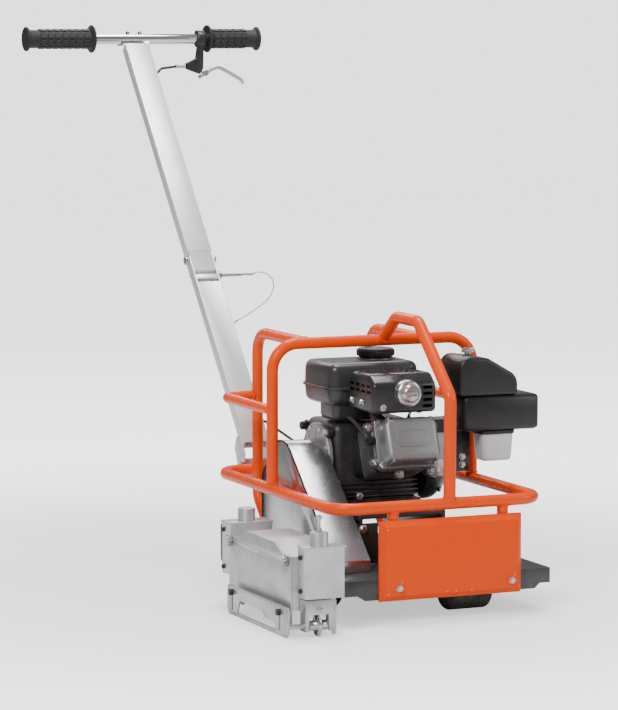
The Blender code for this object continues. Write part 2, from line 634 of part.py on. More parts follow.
def air_cleaner():
    body = block("cleaner_base", (0.112, 0.080, 0.302), (CLEANER_RIGHT, 0.168, 0.366),
                 dark("cleaner_base_black"))
    bevel(body, 0.008, 2)
    combine(body, block("arm", (0.0500, 0.1040, 0.302), (0.120, 0.150, 0.325), None))
    outline = [(0.102, 0.3663), (0.218, 0.3663), (0.218, 0.384), (0.200, 0.412), (0.158, 0.434),
               (0.120, 0.437), (0.102, 0.424)]
    cover = prism("cleaner_cover", outline, 0.078, 0.170, dark("cleaner_cover_black"), "Y")
    bevel(cover, 0.008, 3, 25)
    nut = rod("cleaner_nut", 0.0055, 0.0, 0.009, steel("cleaner_nut_steel"), "Z",
              (0.136, 0.118, 0.4373), 16)
    combine(nut, block("wings", (-0.012, -0.0015, 0.004), (0.012, 0.0015, 0.0125), None,
                       (0.136, 0.118, 0.4373)))
    bowl = block("dust_bowl", (0.150, 0.085, 0.246), (0.216, 0.132, 0.3017),
                 material("bowl_clear", (0.75, 0.80, 0.84), 0.15))
    bevel(bowl, 0.012, 3)
    return cover, bowl


def starter():
    x0 = 0.0783
    profile = [(0, 0.052), (0.036, 0.052), (0.062, 0.045), (0.071, 0.032), (0.073, 0.0), (0, 0.0)]
    turned("recoil_housing", profile, dark("recoil_black"), "X", (x0, CRANK_Y, CRANK_Z + 0.003), 40)
    grip = block("recoil_grip", (-0.006, -0.010, -0.020), (0.009, 0.010, 0.020),
                 rubber("recoil_grip_black"), (0.140, 0.190, 0.243))
    bevel(grip, 0.0045, 2)
    lever = block("throttle_lever", (-0.0015, -0.004, -0.003), (0.0015, 0.004, 0.034),
                  steel("throttle_steel"), (0.105, 0.256, 0.3240))
    combine(lever, rod("boss", 0.0055, -0.004, 0.004, None, "X", (0.105, 0.256, 0.3240)))
    switch = block("stop_switch", (-0.010, 0.0, -0.006), (0.010, 0.006, 0.006),
                   material("switch_red", (0.6, 0.03, 0.02), 0.4), (0.030, 0.3286, 0.285))
    bevel(switch, 0.0015, 2)
    return grip, lever, switch


# ---- handle -------------------------------------------------------------------------------
POST_RISE = Vector((0, POST_TOP[0] - POST_FOOT[0], POST_TOP[1] - POST_FOOT[1]))
POST_LENGTH = POST_RISE.length
POST_LEAN = math.atan2(POST_RISE.y, POST_RISE.z)


def on_post(s, n=0.0):
    """Datum point at distance s up the post and n behind its centreline."""
    y = POST_FOOT[0] + s * math.sin(POST_LEAN) + n * math.cos(POST_LEAN)
    z = POST_FOOT[1] + s * math.cos(POST_LEAN) - n * math.sin(POST_LEAN)
    return (POST_X, y, z)


def post_box(name, x, s, n, mat, origin):
    """A box in the post's own directions; x, s and n are (low, high) pairs."""
    outline = [on_post(s[0], n[0]), on_post(s[1], n[0]), on_post(s[1], n[1]), on_post(s[0], n[1])]
    base = on_post(origin)
    flat = [(p[1] - base[1], p[2] - base[2]) for p in outline]
    return prism(name, flat, x[0], x[1], mat, "X", base)


def handle():
    silver = (0.80, 0.81, 0.82)
    half, deep, wall = POST_W / 2, POST_D / 2, 0.0025
    ear_top = FOLD_S + deep
    side = [(0, -deep)] + circle((FOLD_S, 0), deep, -90, 90, 10) + [(0, deep)]
    outline = [(on_post(s, n)[1] - POST_FOOT[0], on_post(s, n)[2] - POST_FOOT[1]) for s, n in side]
    lower = prism("lower_post", outline, -half, half,
                  material("lower_post_silver", silver, 0.35, 0.5), "X", on_post(0))
    room = post_box("bore", (-half + wall, half - wall), (-0.01, ear_top + 0.01),
                    (-deep + wall, deep - wall), None, 0)
    cut(lower, room)
    mouth = post_box("mouth", (-half + wall, half - wall), (PIN_S - 0.022, ear_top + 0.01),
                     (-deep - 0.01, deep + 0.01), None, 0)
    cut(lower, mouth)
    for s, r in ((FOLD_S, 0.0052), (PIN_S, 0.0038)):
        cut(lower, rod("pin_hole", r, POST_X - 0.05, POST_X + 0.05, None, "X",
                       (0,) + on_post(s)[1:], 20))

    tongue = half - wall - 0.0006
    upper = post_box("upper_post", (-half, half), (ear_top + 0.0045, POST_LENGTH - 0.004),
                     (-deep, deep), material("upper_post_silver", silver, 0.35, 0.5), FOLD_S)
    cut(upper, post_box("bore", (-half + wall, half - wall), (ear_top + 0.03, POST_LENGTH + 0.02),
                        (-deep + wall, deep - wall), None, FOLD_S))
    combine(upper, post_box("tongue", (-tongue, tongue), (PIN_S - 0.014, ear_top + 0.007),
                            (-deep + 0.001, deep - 0.001), None, FOLD_S))
    for s, r in ((FOLD_S, 0.0052), (PIN_S, 0.0038)):
        cut(upper, rod("pin_hole", r, POST_X - 0.05, POST_X + 0.05, None, "X",
                       (0,) + on_post(s)[1:], 20))
    # the saddle is open to the front, so the tongue lifts off the pin as the handle folds
    cut(upper, post_box("saddle", (-half, half), (PIN_S - 0.0037, PIN_S + 0.0056),
                        (-deep - 0.01, 0), None, FOLD_S))

    half_g = half + GAP
    bolt = [(0, half_g + 0.006), (0.0085, half_g + 0.006), (0.0085, half_g), (0.0050, half_g),
            (0.0050, -half_g), (0.0085, -half_g), (0.0085, -half_g - 0.006), (0, -half_g - 0.006)]
    turned("fold_bolt", bolt, steel("fold_bolt_steel"), "X", on_post(FOLD_S), 24)
    pin = turned("lock_pin", [(0, 0.078), (0.0032, 0.078), (0.0034, 0.034), (0.0070, 0.034),
                              (0.0070, half_g), (0.0034, half_g), (0.0034, -half_g - 0.004),
                              (0, -half_g - 0.006)], steel("lock_pin_steel"), "X", on_post(PIN_S), 20)
    ring = tube("ring", [(0.0755 + 0.0125 + 0.0125 * math.cos(a), 0.0125 * math.sin(a), 0)
                         for a in [2 * math.pi * i / 20 for i in range(20)]],
                0.0014, None, 0, True, 1, on_post(PIN_S))
    combine(pin, ring)

    bracket = block("post_bracket", (-0.030, 0, -0.030), (0.030, 0.006, 0.014),
                    steel("bracket_steel"), (POST_X, RING_REAR + TUBE_R + GAP, 0.205))
    cheek = [(RING_REAR + 0.012, 0.178), (0.492, 0.178), (0.518, 0.236), (0.510, 0.258),
             (0.490, 0.262), (0.4715, 0.232), (0.4715, 0.214), (RING_REAR + 0.012, 0.214)]
    for x0 in (POST_X - half - 0.0033, POST_X + half + 0.0003):
        combine(bracket, prism("cheek", cheek, x0, x0 + 0.003, None))
    trim = post_box("post_room", (-half - 0.0003, half + 0.0003), (-0.0005, 0.2),
                    (-deep - 0.0003, deep + 0.0003), None, 0)
    cut(bracket, trim)
    return bracket


def handlebar():
    bar_left = BAR_X - BAR_LENGTH / 2 + 0.003
    bar_right = BAR_X + BAR_LENGTH / 2 - 0.003
    steel_bar = rod("handlebar", BAR_R, bar_left - POST_X, bar_right - POST_X, steel("bar_chrome"),
                    "X", (POST_X, BAR_Y, BAR_Z), 28)
    combine(steel_bar, block("saddle", (-0.030, -0.012, -0.0140), (0.030, 0.010, -0.004), None,
                             (POST_X, BAR_Y, BAR_Z)))
    return bar_left, bar_right


def grips(bar_left, bar_right):
    for name, inner, sign in (("left_grip", bar_left + GRIP_LENGTH, -1),
                              ("right_grip", bar_right - GRIP_LENGTH * 0.79, 1)):
        length = GRIP_LENGTH if sign < 0 else GRIP_LENGTH * 0.79
        r = BAR_R + 0.0002
        profile = [(0, length + 0.003), (0.0245, length + 0.003), (0.0245, length - 0.004),
                   (0.0190, length - 0.007), (0.0190, 0.008), (0.0280, 0.005), (0.0280, 0.0),
                   (r, 0.0), (r, length + 0.0003), (0, length + 0.0003)]
        grip = turned(name, profile, rubber(name + "_rubber"), "X", (inner, BAR_Y, BAR_Z), 32)
        if sign < 0:
            grip.rotation_euler = (0, -math.pi / 2, 0)


def controls():
    """Lever bracket clamped on the bar, the lever, and the control cable in two lengths."""
    x = 0.021
    clamp = turned("lever_bracket", [(BAR_R + 0.0002, 0.009), (0.0175, 0.009), (0.0175, -0.009),
                                     (BAR_R + 0.0002, -0.009)], dark("bracket_black"), "X",
                   (x, BAR_Y, BAR_Z), 28)
    arm = [(-0.006, -0.014), (0.006, -0.014), (0.005, -0.060), (-0.002, -0.072), (-0.030, -0.062),
           (-0.032, -0.050), (-0.010, -0.040)]
    combine(clamp, prism("arm", arm, -0.006, 0.006, None, "Y", (x, BAR_Y, BAR_Z)))
    cut(clamp, rod("barrel_hole", 0.0042, x - 0.06, x - 0.018, None, "X",
                   (0, BAR_Y, BAR_Z - 0.056), 16))
    route = [(0.000, 0, 0), (0.022, 0, 0.010), (0.046, 0, 0.008), (0.074, 0, -0.008),
             (0.084, 0, -0.022)]
    lever = tube("control_lever", route, 0.0038, steel("lever_steel"), 0.010, False, 2,
                 (x + 0.0105, BAR_Y, BAR_Z - 0.070))
    combine(lever, rod("hub", 0.0065, -0.0045, 0.0045, None, "Y", (x + 0.0105, BAR_Y, BAR_Z - 0.070)))
    return clamp, lever


def cables():
    black = rubber("upper_cable_black")
    side = POST_X + POST_W / 2 - 0.0065
    back = POST_D / 2 + 0.0035
    top = on_post(POST_LENGTH - 0.080, back)
    low = on_post(FOLD_S - 0.054, back)
    end = (-0.0300, BAR_Y, BAR_Z - 0.056)
    route = [(0.0010, BAR_Y, BAR_Z - 0.056), end, (-0.065, BAR_Y - 0.002, BAR_Z - 0.060),
             (side, top[1], top[2]), (side, low[1], low[2])]
    tube("upper_cable", route, 0.0027, black, 0.012, False, 2)
    high = on_post(FOLD_S - 0.056, back)
    foot = on_post(0.075, back)
    clear = on_post(0.055, back)
    route = [(side, high[1], high[2]), (side, foot[1], foot[2]), (side + 0.028, clear[1], clear[2]),
             (side + 0.060, 0.470, 0.245), (0.030, 0.410, 0.226), (0.108, 0.350, 0.260),
             (0.112, 0.285, 0.340)]
    tube("lower_cable", route, 0.0027, rubber("lower_cable_black"), 0.016, False, 2)


def lanyard():
    """Wire from the pin's ring, hanging in a loop back to the post."""
    pin = on_post(PIN_S)
    x, y, z = POST_X, pin[1], pin[2]
    route = [(x + 0.0885, y - 0.0152, z + 0.0005), (x + 0.104, y - 0.0165, z + 0.005),
             (x + 0.123, y - 0.0175, z + 0.001), (x + 0.134, y - 0.0180, z - 0.010),
             (x + 0.137, y - 0.0180, z - 0.026), (x + 0.124, y - 0.0205, z - 0.048),
             (x + 0.095, y - 0.034, z - 0.064), (x + 0.064, y - 0.052, z - 0.076),
             (x + 0.040, y - 0.068, z - 0.083), (x + POST_W / 2 + 0.0012, y - 0.076, z - 0.0880)]
    return tube("lanyard", route, 0.0009, steel("lanyard_wire"), 0, False, 1)


running_gear()
guard_frame()
front_panel()
belt_drive()
blade_housing()
spring_boxes()
skid()
arbor()
engine_core()
exhaust()
fuel_system()
air_cleaner()
starter()
handle()
ends = handlebar()
grips(*ends)
controls()
cables()
lanyard()
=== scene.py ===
# %% [markdown]
# # A small joint saw, dressed for the studio
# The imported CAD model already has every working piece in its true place. This script gives it
# a camera, light, finer surfaces, finishes and the small fittings that make a machine look real.
# Lengths are metres, Z is up, and the operator stands on the +Y side.

import math

import bmesh
import bpy
from mathutils import Matrix, Vector


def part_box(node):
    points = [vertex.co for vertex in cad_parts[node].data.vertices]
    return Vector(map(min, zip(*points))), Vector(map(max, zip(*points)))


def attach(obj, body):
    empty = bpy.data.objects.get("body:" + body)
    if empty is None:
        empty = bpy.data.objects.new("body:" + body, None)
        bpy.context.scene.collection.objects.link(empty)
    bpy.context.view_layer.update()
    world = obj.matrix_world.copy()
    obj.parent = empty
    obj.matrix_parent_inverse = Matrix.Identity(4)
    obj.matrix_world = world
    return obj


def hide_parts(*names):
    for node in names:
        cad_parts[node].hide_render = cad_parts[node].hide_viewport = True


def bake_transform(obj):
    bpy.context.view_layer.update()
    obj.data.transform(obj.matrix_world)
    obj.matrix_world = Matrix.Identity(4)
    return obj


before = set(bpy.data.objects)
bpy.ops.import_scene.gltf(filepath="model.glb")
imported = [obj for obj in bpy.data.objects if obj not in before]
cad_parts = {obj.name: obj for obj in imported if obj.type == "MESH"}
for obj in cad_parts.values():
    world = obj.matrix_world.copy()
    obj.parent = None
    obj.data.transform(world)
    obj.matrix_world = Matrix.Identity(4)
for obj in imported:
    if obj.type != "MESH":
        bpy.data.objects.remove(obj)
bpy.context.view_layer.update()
DATUM = Vector((0.0465, -0.50185, 0.0))


def at(x, y, z):
    """A point measured from the middle of the guard ring, the front wheel line and the floor."""
    return Vector((x, y, z)) + DATUM


# %% [markdown]
# ## Camera and floor
# A long lens from eye height keeps the upright post straight and the deck nearly level, as a
# catalogue picture does. The camera looks a little down, so the floor shows under the wheels.

# %% Camera
LENS_LENGTH_MM = 164.789
SENSOR_HEIGHT_MM = 36
HEADING = math.radians(23.3)
PITCH = math.radians(5.798)
CAMERA_PLACE = at(-2.417, -5.091, 1.025)

lens = bpy.data.cameras.new("studio_lens")
lens.sensor_fit = "VERTICAL"
lens.sensor_height = SENSOR_HEIGHT_MM
lens.lens = LENS_LENGTH_MM
camera = bpy.data.objects.new("studio_camera", lens)
camera.location = CAMERA_PLACE
camera.rotation_euler = (math.pi / 2 - PITCH, 0, -HEADING)
bpy.context.scene.collection.objects.link(camera)
bpy.context.scene.camera = camera
print("lens", round(lens.lens, 1), "mm")

# %% [markdown]
# ## Tools for meshes
# Three shapes make almost everything: an outline pushed along an axis, a profile turned about
# an axis, and a box whose corners and rim are rounded like a moulding. Each helper returns a
# bmesh, and one function finishes it: normals, smooth shading, finish, and the body it rides on.

# %% Mesh helpers
def prism(outline, start, end, axis="X"):
    """Push a closed outline along an axis: X takes (y, z), Y takes (x, z), Z takes (x, y)."""
    bm = bmesh.new()
    rings = []
    for depth in (start, end):
        if axis == "X":
            rings.append([bm.verts.new(at(depth, a, b)) for a, b in outline])
        elif axis == "Y":
            rings.append([bm.verts.new(at(a, depth, b)) for a, b in outline])
        else:
            rings.append([bm.verts.new(at(a, b, depth)) for a, b in outline])
    bm.faces.new(rings[0])
    bm.faces.new(reversed(rings[1]))
    join_rings(bm, rings)
    return bm


def join_rings(bm, rings):
    """Side faces between rings that have the same number of points."""
    for lower, upper in zip(rings, rings[1:]):
        count = len(lower)
        for i in range(count):
            j = (i + 1) % count
            bm.faces.new((lower[i], lower[j], upper[j], upper[i]))


def box(low, high):
    outline = [(low[1], low[2]), (high[1], low[2]), (high[1], high[2]), (low[1], high[2])]
    return prism(outline, low[0], high[0])


def turned(profile, place, axis=(0, 0, 1), steps=40):
    """Turn (radius, height) points about an axis through a place; open ends are closed."""
    bm = bmesh.new()
    turn = Vector(axis).to_track_quat("Z", "Y").to_matrix()
    rings = []
    for radius, height in profile:
        ring = []
        for i in range(steps):
            angle = 2 * math.pi * i / steps
            point = Vector((radius * math.cos(angle), radius * math.sin(angle), height))
            ring.append(bm.verts.new(place + turn @ point))
        rings.append(ring)
    join_rings(bm, rings)
    bm.faces.new(reversed(rings[0]))
    bm.faces.new(rings[-1])
    return bm


def rounded_rectangle(half_x, half_y, corner, steps=5):
    corner = max(corner, 0.0004)
    points = []
    for k, (sx, sy) in enumerate(((1, 1), (-1, 1), (-1, -1), (1, -1))):
        for i in range(steps + 1):
            angle = math.pi / 2 * (k + i / steps)
            points.append((sx * (half_x - corner) + corner * math.cos(angle),
                           sy * (half_y - corner) + corner * math.sin(angle)))
    return points


def moulding(place, half_x, half_y, corner, profile, turn=None):
    """A moulded box: the profile lists (height, how far the rim has drawn in)."""
    bm = bmesh.new()
    turn = turn or Matrix.Identity(3)
    rings = []
    for height, inset in profile:
        ring = rounded_rectangle(half_x - inset, half_y - inset, corner - inset)
        rings.append([bm.verts.new(place + turn @ Vector((x, y, height))) for x, y in ring])
    join_rings(bm, rings)
    bm.faces.new(reversed(rings[0]))
    bm.faces.new(rings[-1])
    return bm


def rim(height, radius, up=True, steps=5):
    """Profile points that round a moulding's upper or lower rim."""
    points = []
    for i in range(steps + 1):
        angle = math.pi / 2 * i / steps
        drop = radius - radius * math.sin(angle)
        inset = radius - radius * math.cos(angle)
        points.append((height - drop if up else height + drop, inset))
    return points if up else points[::-1]


def round_edges(bm, width, segments=3, angle=35):
    """Bevel every edge sharper than an angle."""
    bmesh.ops.recalc_face_normals(bm, faces=bm.faces)
    sharp = [e for e in bm.edges if e.is_manifold and e.calc_face_angle(0) > math.radians(angle)]
    bmesh.ops.bevel(bm, geom=sharp, offset=width, segments=segments, profile=0.5,
                    affect="EDGES", clamp_overlap=True)
    return bm


def merged(*meshes):
    """Several bmeshes as one."""
    whole = bmesh.new()
    for part in meshes:
        mesh = bpy.data.meshes.new("part")
        part.to_mesh(mesh)
        part.free()
        whole.from_mesh(mesh)
        bpy.data.meshes.remove(mesh)
    return whole


def finish_piece(name, bm, material, body, stands_for=(), smooth=35, tidy_normals=True):
    """Make the object, shade it, give it its finish and let it ride on its body."""
    if tidy_normals:
        bmesh.ops.recalc_face_normals(bm, faces=bm.faces)
    mesh = bpy.data.meshes.new(name)
    bm.to_mesh(mesh)
    bm.free()
    return finish_mesh(name, mesh, material, body, stands_for, smooth)


def finish_mesh(name, mesh, material, body, stands_for=(), smooth=35):
    mesh.name = name
    mesh.shade_smooth()
    mesh.set_sharp_from_angle(angle=math.radians(smooth))
    if not mesh.materials:
        mesh.materials.append(material)
    piece = bpy.data.objects.new(name, mesh)
    bpy.context.scene.collection.objects.link(piece)
    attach(piece, body)
    if stands_for:
        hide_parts(*stands_for)
    return piece


def arc(centre, radius, start, stop, steps=12):
    points = []
    for i in range(steps + 1):
        angle = math.radians(start + (stop - start) * i / steps)
        points.append((centre[0] + radius * math.cos(angle), centre[1] + radius * math.sin(angle)))
    return points


# %% [markdown]
# ## Effects that several finishes share
# Real finishes are never even. Four small shader groups hold what they have in common: fine
# grain for moulded and cast surfaces, long scratches for drawn sheet, blotches of wear, and
# dust that settles low down. Each group gives a mask or a height, and the material uses it.

# %% Shader groups
def shader_group(name, inputs, outputs):
    group = bpy.data.node_groups.new(name, "ShaderNodeTree")
    for label, value in inputs:
        socket = group.interface.new_socket(label, in_out="INPUT", socket_type="NodeSocketFloat")
        socket.default_value = value
    for label in outputs:
        group.interface.new_socket(label, in_out="OUTPUT", socket_type="NodeSocketFloat")
    start = group.nodes.new("NodeGroupInput")
    end = group.nodes.new("NodeGroupOutput")
    place = group.nodes.new("ShaderNodeTexCoord")
    return group, start, end, place


def grain_group():
    """Even fine grain: the height of moulded plastic, cast metal or rubber."""
    group, start, end, place = shader_group("fine_grain", [("Scale", 900.0), ("Detail", 3.0)],
                                            ["Height", "Speckle"])
    noise = group.nodes.new("ShaderNodeTexNoise")
    spots = group.nodes.new("ShaderNodeTexVoronoi")
    group.links.new(place.outputs["Object"], noise.inputs["Vector"])
    group.links.new(place.outputs["Object"], spots.inputs["Vector"])
    group.links.new(start.outputs["Scale"], noise.inputs["Scale"])
    group.links.new(start.outputs["Scale"], spots.inputs["Scale"])
    group.links.new(start.outputs["Detail"], noise.inputs["Detail"])
    group.links.new(noise.outputs["Fac"], end.inputs["Height"])
    group.links.new(spots.outputs["Distance"], end.inputs["Speckle"])
    return group


def brushed_group():
    """Long thin scratches along one direction; the three inputs stretch them."""
    group, start, end, place = shader_group(
        "drawn_lines", [("Along X", 20.0), ("Along Y", 20.0), ("Along Z", 900.0)], ["Lines"])
    stretch = group.nodes.new("ShaderNodeCombineXYZ")
    scale = group.nodes.new("ShaderNodeVectorMath")
    scale.operation = "MULTIPLY"
    noise = group.nodes.new("ShaderNodeTexNoise")
    noise.inputs["Scale"].default_value = 1.0
    noise.inputs["Detail"].default_value = 4.0
    for label, socket in (("Along X", "X"), ("Along Y", "Y"), ("Along Z", "Z")):
        group.links.new(start.outputs[label], stretch.inputs[socket])
    group.links.new(place.outputs["Object"], scale.inputs[0])
    group.links.new(stretch.outputs["Vector"], scale.inputs[1])
    group.links.new(scale.outputs["Vector"], noise.inputs["Vector"])
    group.links.new(noise.outputs["Fac"], end.inputs["Lines"])
    return group


def wear_group():
    """Cloudy blotches with hard cores: handling marks, zinc spangle, small chips."""
    group, start, end, place = shader_group(
        "blotches", [("Scale", 40.0), ("Threshold", 0.55), ("Softness", 0.1)], ["Mask", "Cloud"])
    noise = group.nodes.new("ShaderNodeTexNoise")
    noise.inputs["Detail"].default_value = 6.0
    noise.inputs["Roughness"].default_value = 0.6
    upper = group.nodes.new("ShaderNodeMath")
    upper.operation = "ADD"
    ramp = group.nodes.new("ShaderNodeMapRange")
    group.links.new(place.outputs["Object"], noise.inputs["Vector"])
    group.links.new(start.outputs["Scale"], noise.inputs["Scale"])
    group.links.new(start.outputs["Threshold"], upper.inputs[0])
    group.links.new(start.outputs["Softness"], upper.inputs[1])
    group.links.new(noise.outputs["Fac"], ramp.inputs["Value"])
    group.links.new(start.outputs["Threshold"], ramp.inputs["From Min"])
    group.links.new(upper.outputs["Value"], ramp.inputs["From Max"])
    group.links.new(ramp.outputs["Result"], end.inputs["Mask"])
    group.links.new(noise.outputs["Fac"], end.inputs["Cloud"])
    return group


def dust_group():
    """Dust mask: strongest at the floor, broken up by noise, gone above a height."""
    group, start, end, place = shader_group("low_dust", [("Height", 0.12), ("Amount", 0.5)],
                                            ["Mask"])
    split = group.nodes.new("ShaderNodeSeparateXYZ")
    fade = group.nodes.new("ShaderNodeMapRange")
    fade.inputs["To Min"].default_value = 1.0
    fade.inputs["To Max"].default_value = 0.0
    noise = group.nodes.new("ShaderNodeTexNoise")
    noise.inputs["Scale"].default_value = 60.0
    noise.inputs["Detail"].default_value = 5.0
    mix = group.nodes.new("ShaderNodeMath")
    mix.operation = "MULTIPLY"
    amount = group.nodes.new("ShaderNodeMath")
    amount.operation = "MULTIPLY"
    group.links.new(place.outputs["Object"], split.inputs["Vector"])
    group.links.new(place.outputs["Object"], noise.inputs["Vector"])
    group.links.new(split.outputs["Z"], fade.inputs["Value"])
    group.links.new(start.outputs["Height"], fade.inputs["From Max"])
    group.links.new(fade.outputs["Result"], mix.inputs[0])
    group.links.new(noise.outputs["Fac"], mix.inputs[1])
    group.links.new(mix.outputs["Value"], amount.inputs[0])
    group.links.new(start.outputs["Amount"], amount.inputs[1])
    group.links.new(amount.outputs["Value"], end.inputs["Mask"])
    return group


GRAIN = grain_group()
LINES = brushed_group()
BLOTCHES = wear_group()
DUST = dust_group()
print("shader groups:", [g.name for g in (GRAIN, LINES, BLOTCHES, DUST)])

# %% [markdown]
# ## Finishes
# One function wires any finish: a base colour that a blotch mask and dust vary a little, a
# roughness that the same mask breaks up, and a bump made of grain or drawn lines. What makes
# paint differ from zinc or rubber is only the numbers, so every finish below is one short call.

# %% Finish builder
DUST_COLOUR = (0.42, 0.40, 0.37)
COAT_ROUGHNESS = 0.12
BUMP_DEPTH = 0.0006


def finish(name, colour, rough, metal=0.0, second=None, blotch=(40, 0.5, 0.25), vary=0.06,
           grain=0, lines=None, bump=0.0, coat=0.0, dust=0.0, clear=0.0, shine=0.5):
    """A procedural finish; grain is a scale per metre, lines the stretch in X, Y and Z."""
    mat = bpy.data.materials.new(name)
    mat.use_nodes = True
    nodes, links = mat.node_tree.nodes, mat.node_tree.links
    shader = nodes["Principled BSDF"]
    shader.inputs["Metallic"].default_value = metal
    shader.inputs["Coat Weight"].default_value = coat
    shader.inputs["Coat Roughness"].default_value = COAT_ROUGHNESS
    shader.inputs["Transmission Weight"].default_value = clear
    shader.inputs["Specular IOR Level"].default_value = shine

    def put(group, values):
        node = nodes.new("ShaderNodeGroup")
        node.node_tree = group
        for label, value in values.items():
            node.inputs[label].default_value = value
        return node

    def mixed(first, last, mask):
        node = nodes.new("ShaderNodeMix")
        node.data_type = "RGBA"
        for socket, value in ((node.inputs[6], first), (node.inputs[7], last)):
            if isinstance(value, tuple):
                socket.default_value = (*value, 1)
            else:
                links.new(value, socket)
        links.new(mask, node.inputs[0])
        return node.outputs[2]

    worn = put(BLOTCHES, {"Scale": blotch[0], "Threshold": blotch[1], "Softness": blotch[2]})
    second = second or tuple(min(1.0, c * 0.86) for c in colour)
    base = mixed(colour, second, worn.outputs["Mask"])
    if dust:
        settled = put(DUST, {"Amount": dust})
        base = mixed(base, DUST_COLOUR, settled.outputs["Mask"])
    links.new(base, shader.inputs["Base Color"])
    spread = nodes.new("ShaderNodeMapRange")
    spread.inputs["To Min"].default_value = max(0.02, rough - vary)
    spread.inputs["To Max"].default_value = min(1.0, rough + vary)
    links.new(worn.outputs["Cloud"], spread.inputs["Value"])
    links.new(spread.outputs["Result"], shader.inputs["Roughness"])
    if bump:
        node = nodes.new("ShaderNodeBump")
        node.inputs["Strength"].default_value = bump
        node.inputs["Distance"].default_value = BUMP_DEPTH
        if lines:
            source = put(LINES, {"Along X": lines[0], "Along Y": lines[1], "Along Z": lines[2]})
            links.new(source.outputs["Lines"], node.inputs["Height"])
        else:
            source = put(GRAIN, {"Scale": grain or 900})
            links.new(source.outputs["Height"], node.inputs["Height"])
        links.new(node.outputs["Normal"], shader.inputs["Normal"])
    return mat


# %% Finishes of this machine
ORANGE = finish("orange_powder_coat", (0.95, 0.074, 0.000), 0.28, second=(0.88, 0.064, 0.000),
                blotch=(25, 0.45, 0.3), grain=700, bump=0.06, coat=0.08, shine=0.20)
PANEL_ORANGE = finish("front_plate_orange", (0.92, 0.070, 0.000), 0.34, second=(0.92, 0.074, 0.000),
                      blotch=(30, 0.45, 0.3), grain=600, bump=0.05, shine=0.15)
NUT_STEEL = finish("nut_steel", (0.34, 0.33, 0.32), 0.22, metal=0.95, grain=1800, bump=0.05)
CHIP = finish("bare_chip", (0.50, 0.47, 0.43), 0.6, metal=0.3, grain=1500, bump=0.2)
DECK = finish("deck_grey", (0.038, 0.040, 0.044), 0.36, metal=0.15, second=(0.055, 0.057, 0.061),
              blotch=(30, 0.52, 0.2), grain=900, bump=0.12, coat=0.15, dust=0.15)
ALLOY = finish("block_alloy", (0.64, 0.645, 0.655), 0.40, metal=0.70, second=(0.48, 0.49, 0.50),
               blotch=(22, 0.42, 0.35), vary=0.16, lines=(60, 60, 1200), bump=0.10, dust=0.12)
SKID_ALLOY = finish("skid_alloy", (0.62, 0.625, 0.64), 0.36, metal=0.8, second=(0.44, 0.44, 0.45),
                    blotch=(35, 0.46, 0.3), vary=0.16, lines=(60, 40, 1500), bump=0.14, dust=0.2)
ZINC = finish("zinc_sheet", (0.60, 0.61, 0.63), 0.26, metal=0.95, second=(0.47, 0.48, 0.50),
              blotch=(24, 0.48, 0.30), vary=0.06, lines=(80, 80, 700), bump=0.05)
STEEL = finish("plated_steel", (0.62, 0.62, 0.63), 0.26, metal=0.95, second=(0.50, 0.50, 0.51),
               grain=1800, bump=0.05)
DARK_STEEL = finish("black_oxide", (0.05, 0.05, 0.052), 0.36, metal=0.7, grain=1500, bump=0.1)
GROUND = finish("ground_steel", (0.50, 0.50, 0.51), 0.30, metal=0.95, second=(0.38, 0.37, 0.36),
                lines=(500, 500, 40), bump=0.1)
IRON = finish("machined_iron", (0.22, 0.22, 0.225), 0.45, metal=0.8, grain=1200, bump=0.15)
CHROME = finish("bar_chrome", (0.80, 0.80, 0.81), 0.13, metal=1.0, second=(0.72, 0.72, 0.73),
                vary=0.05, grain=400, bump=0.02)
POST = finish("satin_post", (0.83, 0.835, 0.84), 0.40, metal=0.45, second=(0.76, 0.765, 0.775),
              blotch=(14, 0.45, 0.3), vary=0.06, lines=(900, 60, 60), bump=0.05)
RUBBER = finish("wheel_rubber", (0.016, 0.016, 0.017), 0.72, second=(0.035, 0.034, 0.033),
                blotch=(60, 0.5, 0.2), grain=1300, bump=0.25, dust=0.35)
GRIP = finish("grip_rubber", (0.013, 0.013, 0.014), 0.62, second=(0.022, 0.022, 0.023),
              grain=2200, bump=0.2)
BELT = finish("belt_rubber", (0.02, 0.02, 0.02), 0.8, grain=1500, bump=0.2)
FLAP = finish("flap_rubber", (0.11, 0.11, 0.112), 0.7, second=(0.15, 0.148, 0.145), grain=900,
              bump=0.25, dust=0.4)
TANK = finish("tank_grey", (0.034, 0.034, 0.037), 0.30, second=(0.044, 0.044, 0.047),
              blotch=(20, 0.5, 0.3), grain=1100, bump=0.14, coat=0.1)
COWL = finish("cowl_black", (0.020, 0.020, 0.022), 0.28, second=(0.028, 0.028, 0.030), grain=1100,
              bump=0.12, coat=0.1)
PLASTIC = finish("black_plastic", (0.016, 0.0155, 0.016), 0.38, second=(0.022, 0.0215, 0.022),
                 grain=1700, bump=0.16)
# Near-black finish that paints the shade inside the recoil cover's vent slots.
VENT_SHADE = finish("painted_vent_shade", (0.006, 0.006, 0.006), 0.8, grain=800, bump=0.05)
CAST = finish("cast_rocker", (0.27, 0.275, 0.285), 0.40, metal=0.6, second=(0.22, 0.225, 0.235),
              blotch=(60, 0.5, 0.3), grain=1500, bump=0.28)
CASE = finish("dark_casting", (0.060, 0.060, 0.063), 0.42, metal=0.6, second=(0.095, 0.094, 0.097),
              blotch=(50, 0.5, 0.25), grain=1300, bump=0.3)
RAW_DARK = finish("head_casting", (0.16, 0.16, 0.165), 0.42, metal=0.7, second=(0.11, 0.11, 0.115),
                  blotch=(60, 0.5, 0.25), grain=1300, bump=0.28)
RAW_CAST = finish("raw_casting", (0.48, 0.485, 0.49), 0.46, metal=0.75, second=(0.36, 0.36, 0.37),
                  blotch=(60, 0.48, 0.25), grain=1300, bump=0.28)
